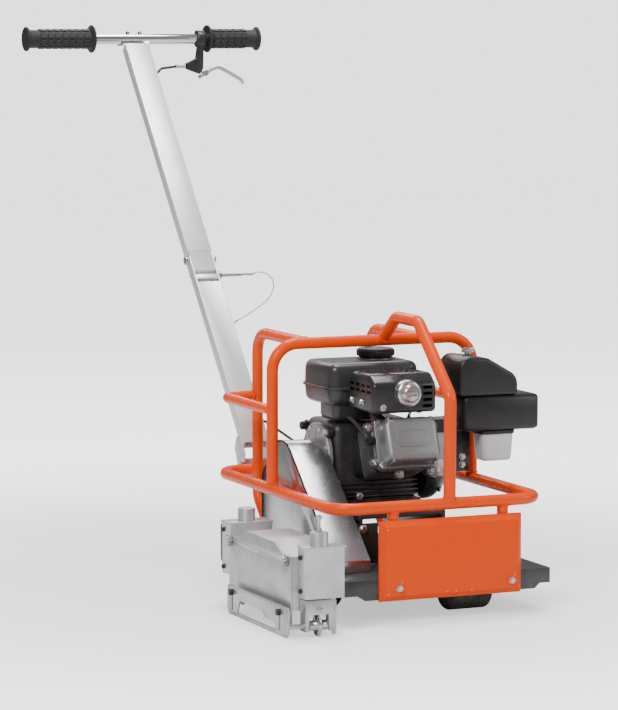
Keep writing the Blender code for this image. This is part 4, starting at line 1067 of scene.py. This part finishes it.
for i in range(8):
    angle = 2 * math.pi * i / 8
    turn = Matrix((Vector((0, math.cos(angle), math.sin(angle))),
                   Vector((0, -math.sin(angle), math.cos(angle))), Vector((1, 0, 0)))).transposed()
    spot = at(-0.1042, 0.250 + 0.0390 * math.cos(angle), 0.250 + 0.0390 * math.sin(angle))
    webs.append(moulding(spot, 0.0150, 0.0014, 0.0012, [(-0.0014, 0.0005), (0.0020, 0)], turn))
finish_piece("side_cover_webs", merged(*webs), RAW_CAST, "base")
stud = turned([(0.0150, 0), (0.0165, 0.001), (0.0165, 0.010), (0.0140, 0.0125), (0.0060, 0.0125)],
              at(-0.1000, 0.250, 0.250), (-1, 0, 0), 32)
finish_piece("side_cover_hub", stud, RAW_CAST, "base", (), 35)
brace = prism([(0.150, 0.176), (0.158, 0.176), (0.176, 0.214), (0.168, 0.216)], -0.094, -0.0915)
finish_piece("engine_brace", round_edges(brace, 0.0006, 2), RAW_CAST, "base")
drain = turned([(0.0075, 0), (0.0075, 0.006), (0.0050, 0.0065), (0.0050, 0.0085)],
               at(-0.050, 0.1815, 0.184), (0, -1, 0), 6)
finish_piece("oil_drain_plug", drain, STEEL, "base")
lugs = []
for x, y, z in ((-0.094, 0.200, 0.300), (-0.094, 0.200, 0.225), (-0.094, 0.315, 0.225)):
    lugs.append(turned([(0.0085, 0), (0.0095, 0.001), (0.0095, 0.009), (0.0070, 0.010)],
                       at(x, y, z), (-1, 0, 0), 24))
finish_piece("crankcase_lugs", merged(*lugs), CASE, "base", (), 35)
lug_bolts = [(at(-0.104, y, z), (-1, 0, 0))
             for y, z in ((0.200, 0.300), (0.200, 0.225), (0.315, 0.225))]
copies("crankcase_lug_bolts", hex_bolt(0.0085, 0.0052, 0.0060), lug_bolts, STEEL, "base")
plug = turned([(0.0105, 0), (0.0105, 0.004), (0.0080, 0.005), (0.0080, 0.0125), (0.0068, 0.014)],
              at(-0.0980, 0.300, 0.301), (-1, 0, 0), 8)
finish_piece("oil_filler_plug", plug, PLASTIC, "base")
foot_flange = moulding(at(-0.009, 0.258, 0.1646), 0.0868, 0.0765, 0.010,
                       [(0.0002, 0), (0.0095, 0)] + rim(0.0110, 0.0014))
finish_piece("crankcase_foot", foot_flange, CASE, "base")
foot_bolts = [(at(x, y, 0.1756), (0, 0, 1)) for x in (-0.084, 0.066) for y in (0.190, 0.326)]
copies("engine_foot_bolts", hex_bolt(0.012, 0.007, 0.0095), foot_bolts, STEEL, "base")

# %% Fuel tank and cap
tank_centre = at(-0.017, 0.24475, 0)
tank_top = [(height, inset + 0.0016) for height, inset in rim(0.4230, 0.014)]
upper = moulding(tank_centre, 0.0890, 0.0672, 0.020,
                 [(0.3810, 0.0006), (0.4000, 0.0012)] + tank_top)
lower = moulding(tank_centre, 0.0890, 0.0672, 0.020,
                 [(h, i + 0.0020) for h, i in rim(0.3460, 0.016, False)] + [(0.3766, 0.0006)])
seam = moulding(tank_centre, 0.0916, 0.0700, 0.022,
                [(0.3764, 0.0008), (0.3770, 0), (0.3805, 0), (0.3811, 0.0008)])
sump = moulding(at(-0.052, 0.225, 0), 0.0420, 0.0350, 0.012,
                [(h, i) for h, i in rim(0.3195, 0.010, False)] + [(0.3500, 0)])
finish_piece("fuel_tank_shell", merged(upper, lower, seam, sump), TANK, "base", ("fuel_tank",), 40)
tab = round_edges(box((-0.1125, 0.190, 0.3772), (-0.1070, 0.204, 0.3803)), 0.0008, 2)
finish_piece("fuel_tank_tab", tab, TANK, "base")
neck = turned([(0.0300, 0), (0.0300, 0.0016), (0.0270, 0.0026), (0.0200, 0.0026)],
              at(0.020, 0.262, 0.4222), steps=40)
finish_piece("fuel_filler_neck", neck, STEEL, "base")
cap = turned([(0.0280, 0.0006), (0.0330, 0.0030), (0.0335, 0.0045), (0.0335, 0.0140),
              (0.0315, 0.0168), (0.0200, 0.0176), (0.0180, 0.0160), (0.0050, 0.0160)],
             at(0.020, 0.262, 0.4243), steps=48)
finish_piece("fuel_cap_body", cap, PLASTIC, "tank_cap", ("fuel_cap",), 35)
cap_lug = moulding(Vector((0, 0, 0)), 0.0052, 0.0018, 0.0012, [(-0.0015, 0), (0.0008, 0),
                                                              (0.0015, 0.0008)])
cap_places = []
for i in range(28):
    angle = 2 * math.pi * i / 28
    spoke = Vector((math.cos(angle), math.sin(angle), 0))
    cap_places.append((at(0.020, 0.262, 0.4336) + spoke * 0.0334, spoke))
copies("fuel_cap_grips", cap_lug, cap_places, PLASTIC, "tank_cap")
print("fuel cap grips:", len(cap_places))

# %% [markdown]
# ## Muffler cover
# A pressed steel cover keeps hands off the hot muffler. Its vents are real slots, cut through a
# 1.4 mm shell with a Boolean, and the exhaust deflector is a plated cup on its front.

# %% Muffler cover
MUFFLER = [(0.0640, 0.3445), (0.1720, 0.3445), (0.1720, 0.4000), (0.1600, 0.4130),
           (0.0860, 0.4135), (0.0640, 0.3960)]
MUFFLER_LEFT, MUFFLER_RIGHT = -0.0740, 0.0490
MUFFLER_WALL, MUFFLER_CORNER = 0.0014, 0.0075


def shrink(outline, by):
    """The same outline, listed anticlockwise, with every side moved in."""
    count = len(outline)
    moved = []
    for i, point in enumerate(outline):
        here = Vector(point)
        one = (here - Vector(outline[i - 1])).normalized()
        two = (Vector(outline[(i + 1) % count]) - here).normalized()
        first = Vector((-one.y, one.x))
        second = Vector((-two.y, two.x))
        inward = (first + second).normalized()
        moved.append(tuple(here + inward * by / inward.dot(first)))
    return moved


def hollowed(name, outer, cutters, material, body, stands_for=(), smooth=40):
    """Cut each of the cutters out of a shape with exact Booleans."""
    objects = []
    for bm in (outer, *cutters):
        bmesh.ops.recalc_face_normals(bm, faces=bm.faces)
        mesh = bpy.data.meshes.new("boolean")
        bm.to_mesh(mesh)
        bm.free()
        obj = bpy.data.objects.new("boolean", mesh)
        bpy.context.scene.collection.objects.link(obj)
        objects.append(obj)
    shell = objects[0]
    for tool in objects[1:]:
        modifier = shell.modifiers.new(tool.name, "BOOLEAN")
        modifier.operation = "DIFFERENCE"
        modifier.solver = "EXACT"
        modifier.object = tool
    graph = bpy.context.evaluated_depsgraph_get()
    mesh = bpy.data.meshes.new_from_object(shell.evaluated_get(graph))
    shell.modifiers.clear()
    for obj in objects:
        bpy.data.objects.remove(obj)
    mesh.materials.clear()
    return finish_mesh(name, mesh, material, body, stands_for, smooth)


def slot_tool(centre, half_long, half_wide, turn, deep=0.006):
    """A round-ended cutter across a sheet."""
    corner = min(half_long, half_wide) * 0.98
    return moulding(centre, half_long, half_wide, corner, [(-deep, 0), (deep, 0)], turn)


SIDE_LEFT = Matrix(((0, 0, -1), (1, 0, 0), (0, -1, 0)))
SIDE_FRONT = Matrix(((1, 0, 0), (0, 0, -1), (0, 1, 0)))
SIDE_TOP = Matrix.Identity(3)
outer = round_edges(prism(MUFFLER, MUFFLER_LEFT, MUFFLER_RIGHT), MUFFLER_CORNER, 4, 20)
inner = prism(shrink(MUFFLER, MUFFLER_WALL), MUFFLER_LEFT + MUFFLER_WALL,
              MUFFLER_RIGHT - MUFFLER_WALL)
inner = round_edges(inner, MUFFLER_CORNER - MUFFLER_WALL, 4, 20)
vents = []
for i in range(4):
    for z in (0.3820, 0.3925):
        vents.append(slot_tool(at(-0.074, 0.084 + i * 0.0240, z), 0.0088, 0.0026, SIDE_LEFT))
for i in range(11):
    vents.append(slot_tool(at(-0.061 + i * 0.0100, 0.122, 0.4133), 0.0024, 0.0300, SIDE_TOP))
for i in range(4):
    vents.append(slot_tool(at(0.0310, 0.064, 0.356 + i * 0.0110), 0.0095, 0.0028, SIDE_FRONT))
hollowed("muffler_cover_shell", outer, [inner, merged(*vents)], COWL, "base",
         ("muffler_cover",), 35)
core = round_edges(box((-0.062, 0.078, 0.350), (0.038, 0.160, 0.400)), 0.012, 3)
finish_piece("muffler_can", core, IRON, "base")
cover_screws = [(at(-0.074, 0.110, 0.362), (-1, 0, 0)), (at(-0.074, 0.152, 0.362), (-1, 0, 0)),
                (at(-0.055, 0.064, 0.356), (0, -1, 0))]
copies("muffler_cover_screws", hex_bolt(0.0085, 0.0045, 0.0062), cover_screws, STEEL, "base")

DEFLECTOR = at(-0.012, 0.0636, 0.381)
cup = [(0.0215, 0.0), (0.0232, 0.0010), (0.0235, 0.0150), (0.0228, 0.0180), (0.0205, 0.0200),
       (0.0190, 0.0206), (0.0184, 0.0196), (0.0168, 0.0196), (0.0150, 0.0238), (0.0122, 0.0262),
       (0.0040, 0.0270)]
outer = turned(cup, DEFLECTOR, (0, -1, 0), 56)
mouth = merged(
    slot_tool(DEFLECTOR + Vector((0, -0.0265, -0.0015)), 0.0100, 0.0026, SIDE_FRONT, 0.0050),
    slot_tool(DEFLECTOR + Vector((0, -0.0265, 0.0062)), 0.0072, 0.0014, SIDE_FRONT, 0.0040))
hollowed("exhaust_deflector_cup", outer, [mouth], STEEL, "base", ("exhaust_deflector",), 35)
ring_screws = []
for angle in (90, 210, 330):
    turn = math.radians(angle)
    ring_screws.append((DEFLECTOR + Vector((0.0176 * math.cos(turn), -0.0194,
                                            0.0176 * math.sin(turn))), (0, -1, 0)))
copies("deflector_screws", hex_bolt(0.0045, 0.0026, 0.0030), ring_screws, STEEL, "base")
pipe = smooth_path(at_all([(-0.030, 0.150, 0.345), (-0.034, 0.140, 0.332), (-0.032, 0.120, 0.322),
                           (-0.026, 0.104, 0.316)]), 8)
tube("exhaust_pipe", [pipe], 0.0110, IRON, "base", sides=24)

# %% [markdown]
# ## Air cleaner and carburettor
# Intake air passes a cyclone bowl and a foam element under a black cover with a sloping side. A
# wing nut holds the cover. The bowl is clear plastic, so its wall is thin and lets light in.

# %% Air cleaner
COVER = ([(0.1020, 0.3663), (0.2180, 0.3663), (0.2180, 0.3840)]
         + arc((0.190, 0.384), 0.028, 12, 52, 4) + [(0.1600, 0.4330)]
         + arc((0.124, 0.409), 0.028, 80, 118, 3) + [(0.1030, 0.4230)])
cover = round_edges(prism(COVER, 0.0780, 0.1700, "Y"), 0.0075, 4, 24)
finish_piece("air_cleaner_cover", cover, PLASTIC, "base", ("cleaner_cover",), 35)
nut_seat = turned([(0.0120, 0), (0.0105, 0.0020), (0.0070, 0.0030)], at(0.136, 0.118, 0.4338))
finish_piece("air_cleaner_boss", nut_seat, PLASTIC, "base")
bowl = moulding(at(0.1830, 0.1085, 0), 0.0325, 0.0230, 0.011,
                [(h, i + 0.0035) for h, i in rim(0.2462, 0.007, False)] + [(0.2940, 0.0004),
                                                                          (0.3010, 0.0004)])
finish_piece("cyclone_bowl", bowl, CLEAR, "base", ("dust_bowl",), 40)
lip = moulding(at(0.1830, 0.1085, 0), 0.0345, 0.0250, 0.012,
               [(0.2955, 0.0008), (0.2961, 0), (0.3012, 0), (0.3018, 0.0008)])
finish_piece("cyclone_lip", lip, PLASTIC, "base", (), 40)
plate = round_edges(box((0.1180, 0.1330, 0.2250), (0.1480, 0.1355, 0.3025)), 0.0008, 2)
finish_piece("cleaner_bracket", plate, COWL, "base")
copies("cleaner_bracket_bolts", hex_bolt(0.009, 0.005, 0.0065),
       [(at(0.133, 0.1330, 0.2520), (0, -1, 0)), (at(0.133, 0.1330, 0.2380), (0, -1, 0))],
       STEEL, "base")

# %% Carburettor
bowl_cup = turned([(0.0130, 0.0), (0.0175, 0.0030), (0.0190, 0.0090), (0.0190, 0.0300),
                   (0.0205, 0.0310), (0.0205, 0.0330)], at(0.074, 0.128, 0.2222), steps=40)
nut = turned([(0.0060, 0.0), (0.0060, 0.0050), (0.0090, 0.0058)], at(0.074, 0.128, 0.2190), steps=6)
finish_piece("carburettor_bowl", merged(bowl_cup, nut), STEEL, "base", (), 35)
copies("carburettor_screws", hex_bolt(0.0055, 0.0035, 0.0040),
       [(at(x, 0.1040, z), (0, -1, 0)) for x in (0.052, 0.091) for z in (0.262, 0.295)],
       BRASS, "base")
link_rod = smooth_path(at_all([(0.056, 0.100, 0.285), (0.040, 0.112, 0.296), (0.050, 0.150, 0.309),
                               (0.060, 0.200, 0.325), (0.096, 0.250, 0.345)]), 8)
tube("governor_rod", [link_rod], 0.0012, STEEL, "base", sides=10)
hose = smooth_path(at_all([(-0.010, 0.205, 0.326), (0.010, 0.190, 0.305), (0.030, 0.168, 0.290),
                           (0.047, 0.150, 0.286)]), 8)
tube("fuel_hose", [hose], 0.0034, RUBBER, "base", sides=16)

# %% Spark plug and lead
plug_root = on_cylinder(-0.056, 0.150, 0.010)
plug_out = Vector((-0.72, -0.66, 0.10)).normalized()
ceramic = turned([(0.0080, 0), (0.0080, 0.006), (0.0055, 0.008), (0.0055, 0.014)], plug_root,
                 plug_out, 20)
finish_piece("spark_plug", ceramic, STEEL, "base")
boot = turned([(0.0062, 0.0), (0.0078, 0.002), (0.0074, 0.016), (0.0060, 0.022), (0.0040, 0.024)],
              plug_root + plug_out * 0.010, plug_out, 24)
finish_piece("spark_plug_boot", boot, RUBBER, "base")
boot_tip = plug_root + plug_out * 0.031
lead = smooth_path([boot_tip, boot_tip + Vector((-0.006, -0.004, 0.010)),
                    at(-0.078, 0.118, 0.318), at(-0.078, 0.160, 0.330),
                    at(-0.060, 0.200, 0.322)], 8)
tube("spark_plug_lead", [lead], 0.0034, CABLE, "base", sides=14)

# %% Recoil starter
START = at(0.0783, 0.236, 0.236)
drum = turned([(0.0725, 0.0), (0.0730, 0.0010), (0.0718, 0.0290), (0.0690, 0.0350),
               (0.0610, 0.0455), (0.0580, 0.0480), (0.0400, 0.0500), (0.0360, 0.0515),
               (0.0120, 0.0515)], START, (1, 0, 0), 64)
finish_piece("recoil_cover", drum, COWL, "base", ("recoil_housing",), 35)
# The vent slots are not cut: near-black pads set into the drum's face paint the shade inside them.
vents = []
for i in range(16):
    angle = 2 * math.pi * (i + 0.5) / 16
    centre = START + Vector((0.0489, 0.0500 * math.cos(angle), 0.0500 * math.sin(angle)))
    turn = Matrix((Vector((0, math.cos(angle), math.sin(angle))),
                   Vector((0, -math.sin(angle), math.cos(angle))), Vector((1, 0, 0)))).transposed()
    vents.append(moulding(centre, 0.0085, 0.0022, 0.0021, [(-0.002, 0), (0.0006, 0)], turn))
finish_piece("recoil_vents", merged(*vents), VENT_SHADE, "base")
screws = []
for i in range(4):
    angle = 2 * math.pi * (i + 0.5) / 4
    screws.append((START + Vector((0.0335, 0.0700 * math.cos(angle), 0.0700 * math.sin(angle))),
                   (1, 0, 0)))
copies("recoil_screws", hex_bolt(0.0080, 0.0045, 0.0058), screws, STEEL, "base")

# %% [markdown]
# ## Fittings on the frame and the block
# Bolts, socket screws, the guard's edge strip and a few brackets. Each kind of screw is drawn
# once and copied to its places, each turned to the face it stands on.

# %% Screws
PLATE_BACK, PLATE_DEPTH = -0.0723, 0.0140
pan = moulding(at(0.010, PLATE_BACK, 0.10825), 0.1360, 0.06975, 0.0016,
               [(0, 0), (0.0046, 0), (0.0052, 0.0003), (PLATE_DEPTH - 0.0003, 0.0096),
                (PLATE_DEPTH, 0.0104)], SIDE_FRONT)
pan_room = box((-0.1150, PLATE_BACK - 0.0115, 0.0805), (0.1350, PLATE_BACK + 0.01, 0.1660))
pan_mouth = box((-0.1200, PLATE_BACK - 0.0040, 0.0805), (0.1400, PLATE_BACK + 0.01, 0.1720))
hollowed("front_plate_pan", pan, [pan_room, pan_mouth], PANEL_ORANGE, "base",
         ("front_plate",), 20)
front_face = PLATE_BACK - PLATE_DEPTH
copies("front_plate_bolts", hex_bolt(0.0098, 0.0048, 0.0062),
       [(at(x, front_face, 0.0615), (0, -1, 0)) for x in (-0.092, 0.124)], STEEL, "base")
chip = moulding(Vector((0, 0, 0)), 0.0014, 0.0009, 0.0006, [(-0.0002, 0), (0.00012, 0.0001)])
copies("front_plate_chips", chip,
       [(at(x, front_face, z), (0, -1, 0)) for x, z in
        ((-0.1130, 0.0512), (-0.0870, 0.0715), (-0.0010, 0.0496), (0.0160, 0.0502),
         (0.0460, 0.0500), (0.1290, 0.0710), (-0.1140, 0.1640))], CHIP, "base")
# This plate and its bolt are an addition of this scene, not known from the real machine: the black
# plate paints the shade seen through the hollow engine mount, and keeps the bright floor from
# showing there.
shade_plate = round_edges(box((-0.1000, 0.0815, 0.0778), (-0.0560, 0.0842, 0.1500)), 0.0008, 2)
finish_piece("engine_mount_gusset", shade_plate, COWL, "base")
copies("gusset_bolt", hex_bolt(0.0110, 0.0060, 0.0078), [(at(-0.086, 0.0815, 0.1400), (0, -1, 0))],
       STEEL, "base")
copies("block_side_screws", socket_screw(0.0042, 0.0042),
       [(at(-0.2960, y, z), (-1, 0, 0)) for y, z in ((-0.1330, 0.135), (-0.1330, 0.078))]
       + [(at(-0.3060, y, z), (-1, 0, 0)) for y, z in ((0.190, 0.138), (0.190, 0.072))],
       DARK_STEEL, "base")
copies("roller_yoke_screw", hex_bolt(0.0065, 0.0040, 0.0048),
       [(at(-0.2688, -0.1572, 0.0480), (0, -1, 0))], STEEL, "skid")
copies("deck_bolts", hex_bolt(0.0120, 0.0065, 0.0095),
       [(at(-0.088, -0.030, BASE_TOP), (0, 0, 1)), (at(0.150, -0.030, BASE_TOP), (0, 0, 1)),
        (at(0.150, 0.360, BASE_TOP), (0, 0, 1)), (at(-0.060, 0.372, BASE_TOP), (0, 0, 1))],
       STEEL, "base")
guard_edge = [(0.327, 0.090), (0.327, 0.212)] + arc((0.236, 0.224), 0.060, 60, 133, 10)
guard_edge += [(0.052, 0.140), (0.006, 0.098), (0.006, 0.080)]
edge_path = [at(-0.1757, y, z) for y, z in guard_edge]
tube("guard_edge_strip", [edge_path], 0.0017, RUBBER, "base", sides=10)
BLOCK_EDGE = [(0.1575, 0.060), (0.1575, 0.1295), (0.1180, 0.1305), (0.0777, 0.1495),
              (-0.0457, 0.1485), (-0.0830, 0.1345), (-0.1165, 0.1335), (-0.1165, 0.060)]
tube("block_door_seal", [[at(-0.3064, y, z) for y, z in BLOCK_EDGE]], 0.0010, RUBBER, "base",
     sides=8)
clamp_bolts = [(at(x, BAR_Y - 0.0030, BAR_Z + 0.0100), (0, -0.25, 0.97)) for x in (-0.138, -0.112)]
copies("bar_clamp_screws", socket_screw(0.0042, 0.0052), clamp_bolts, NUT_STEEL, "handle")
post_clip("cable_clip_upper", POST_LENGTH - 0.155, "handle")
post_clip("cable_clip_lower", FOLD_S + 0.075, "handle")
print("screws and clips in place")

# %% [markdown]
# ## Studio
# A pale floor that runs off into the background, one broad lamp over the left shoulder, a softer
# one on the right and a strip behind. Large lamps give the long soft highlights that tubes and
# sheet metal need, and the surroundings fill the shadows a little.
#
# The floor and the backdrop look brighter to the camera than the light they give: the floor glows,
# for camera rays only, more with distance from the machine, until it meets the backdrop. The weaker
# glow near the machine paints a darker pool of shade around it, on top of the shadow the lamps
# cast.

# %% Floor and lights
# The glow close to the machine is lower than the far glow: it paints a pool of shade on the floor
# under and around the machine.
SHADOW_POOL_GLOW, FLOOR_GLOW = 0.75, 2.1
GLOW_STARTS, GLOW_FULL = 0.25, 1.9
BACKDROP_SEEN, BACKDROP_LIGHT = 2.32, 0.24
FLOOR_REACH = 14.0
FLOOR_GAP = 0.0004

floor_finish = bpy.data.materials.new("studio_floor")
floor_finish.use_nodes = True
nodes, links = floor_finish.node_tree.nodes, floor_finish.node_tree.links
floor_shader = nodes["Principled BSDF"]
floor_shader.inputs["Base Color"].default_value = (0.86, 0.86, 0.86, 1)
floor_shader.inputs["Roughness"].default_value = 0.75
floor_shader.inputs["Emission Color"].default_value = (1, 1, 1, 1)
seen = nodes.new("ShaderNodeLightPath")
glow = nodes.new("ShaderNodeMath")
glow.operation = "MULTIPLY"
place = nodes.new("ShaderNodeTexCoord")
distance = nodes.new("ShaderNodeVectorMath")
distance.operation = "LENGTH"
# Glow rises with distance from the origin, so the dimmer floor near the machine is painted shade.
spread = nodes.new("ShaderNodeMapRange")
spread.interpolation_type = "SMOOTHERSTEP"
for socket, value in (("From Min", GLOW_STARTS), ("From Max", GLOW_FULL),
                      ("To Min", SHADOW_POOL_GLOW), ("To Max", FLOOR_GLOW)):
    spread.inputs[socket].default_value = value
links.new(place.outputs["Object"], distance.inputs[0])
links.new(distance.outputs["Value"], spread.inputs["Value"])
links.new(spread.outputs["Result"], glow.inputs[1])
links.new(seen.outputs["Is Camera Ray"], glow.inputs[0])
links.new(glow.outputs[0], floor_shader.inputs["Emission Strength"])
floor_mesh = bpy.data.meshes.new("studio_floor")
corners = [(x * FLOOR_REACH, y * FLOOR_REACH, 0) for x, y in ((-1, -1), (1, -1), (1, 1), (-1, 1))]
floor_mesh.from_pydata(corners, [], [(0, 1, 2, 3)])
floor_mesh.materials.append(floor_finish)
floor = bpy.data.objects.new("studio_floor", floor_mesh)
floor.location.z = -FLOOR_GAP
bpy.context.scene.collection.objects.link(floor)


def lamp(name, place, aim, size, power):
    light = bpy.data.lights.new(name, "AREA")
    light.shape = "RECTANGLE"
    light.size, light.size_y = size
    light.energy = power
    obj = bpy.data.objects.new(name, light)
    obj.location = place
    obj.rotation_euler = (Vector(aim) - Vector(place)).to_track_quat("-Z", "Y").to_euler()
    bpy.context.scene.collection.objects.link(obj)


lamp("key_lamp", (-2.2, -2.4, 2.6), (0, 0, 0.35), (1.3, 1.3), 92)
lamp("fill_lamp", (2.8, -2.4, 1.6), (0, 0, 0.35), (1.2, 1.6), 30)
lamp("back_lamp", (0.6, 2.8, 2.4), (0, 0, 0.5), (2.4, 1.0), 46)
lamp("top_lamp", (0.2, 0.1, 3.2), (0, 0, 0), (1.4, 1.4), 88)
world = bpy.data.worlds.new("studio_white")
world.use_nodes = True
nodes, links = world.node_tree.nodes, world.node_tree.links
background = nodes["Background"]
background.inputs["Color"].default_value = (1, 1, 1, 1)
seen = nodes.new("ShaderNodeLightPath")
strength = nodes.new("ShaderNodeMapRange")
strength.inputs["To Min"].default_value = BACKDROP_LIGHT
strength.inputs["To Max"].default_value = BACKDROP_SEEN
links.new(seen.outputs["Is Camera Ray"], strength.inputs["Value"])
links.new(strength.outputs["Result"], background.inputs["Strength"])
bpy.context.scene.world = world
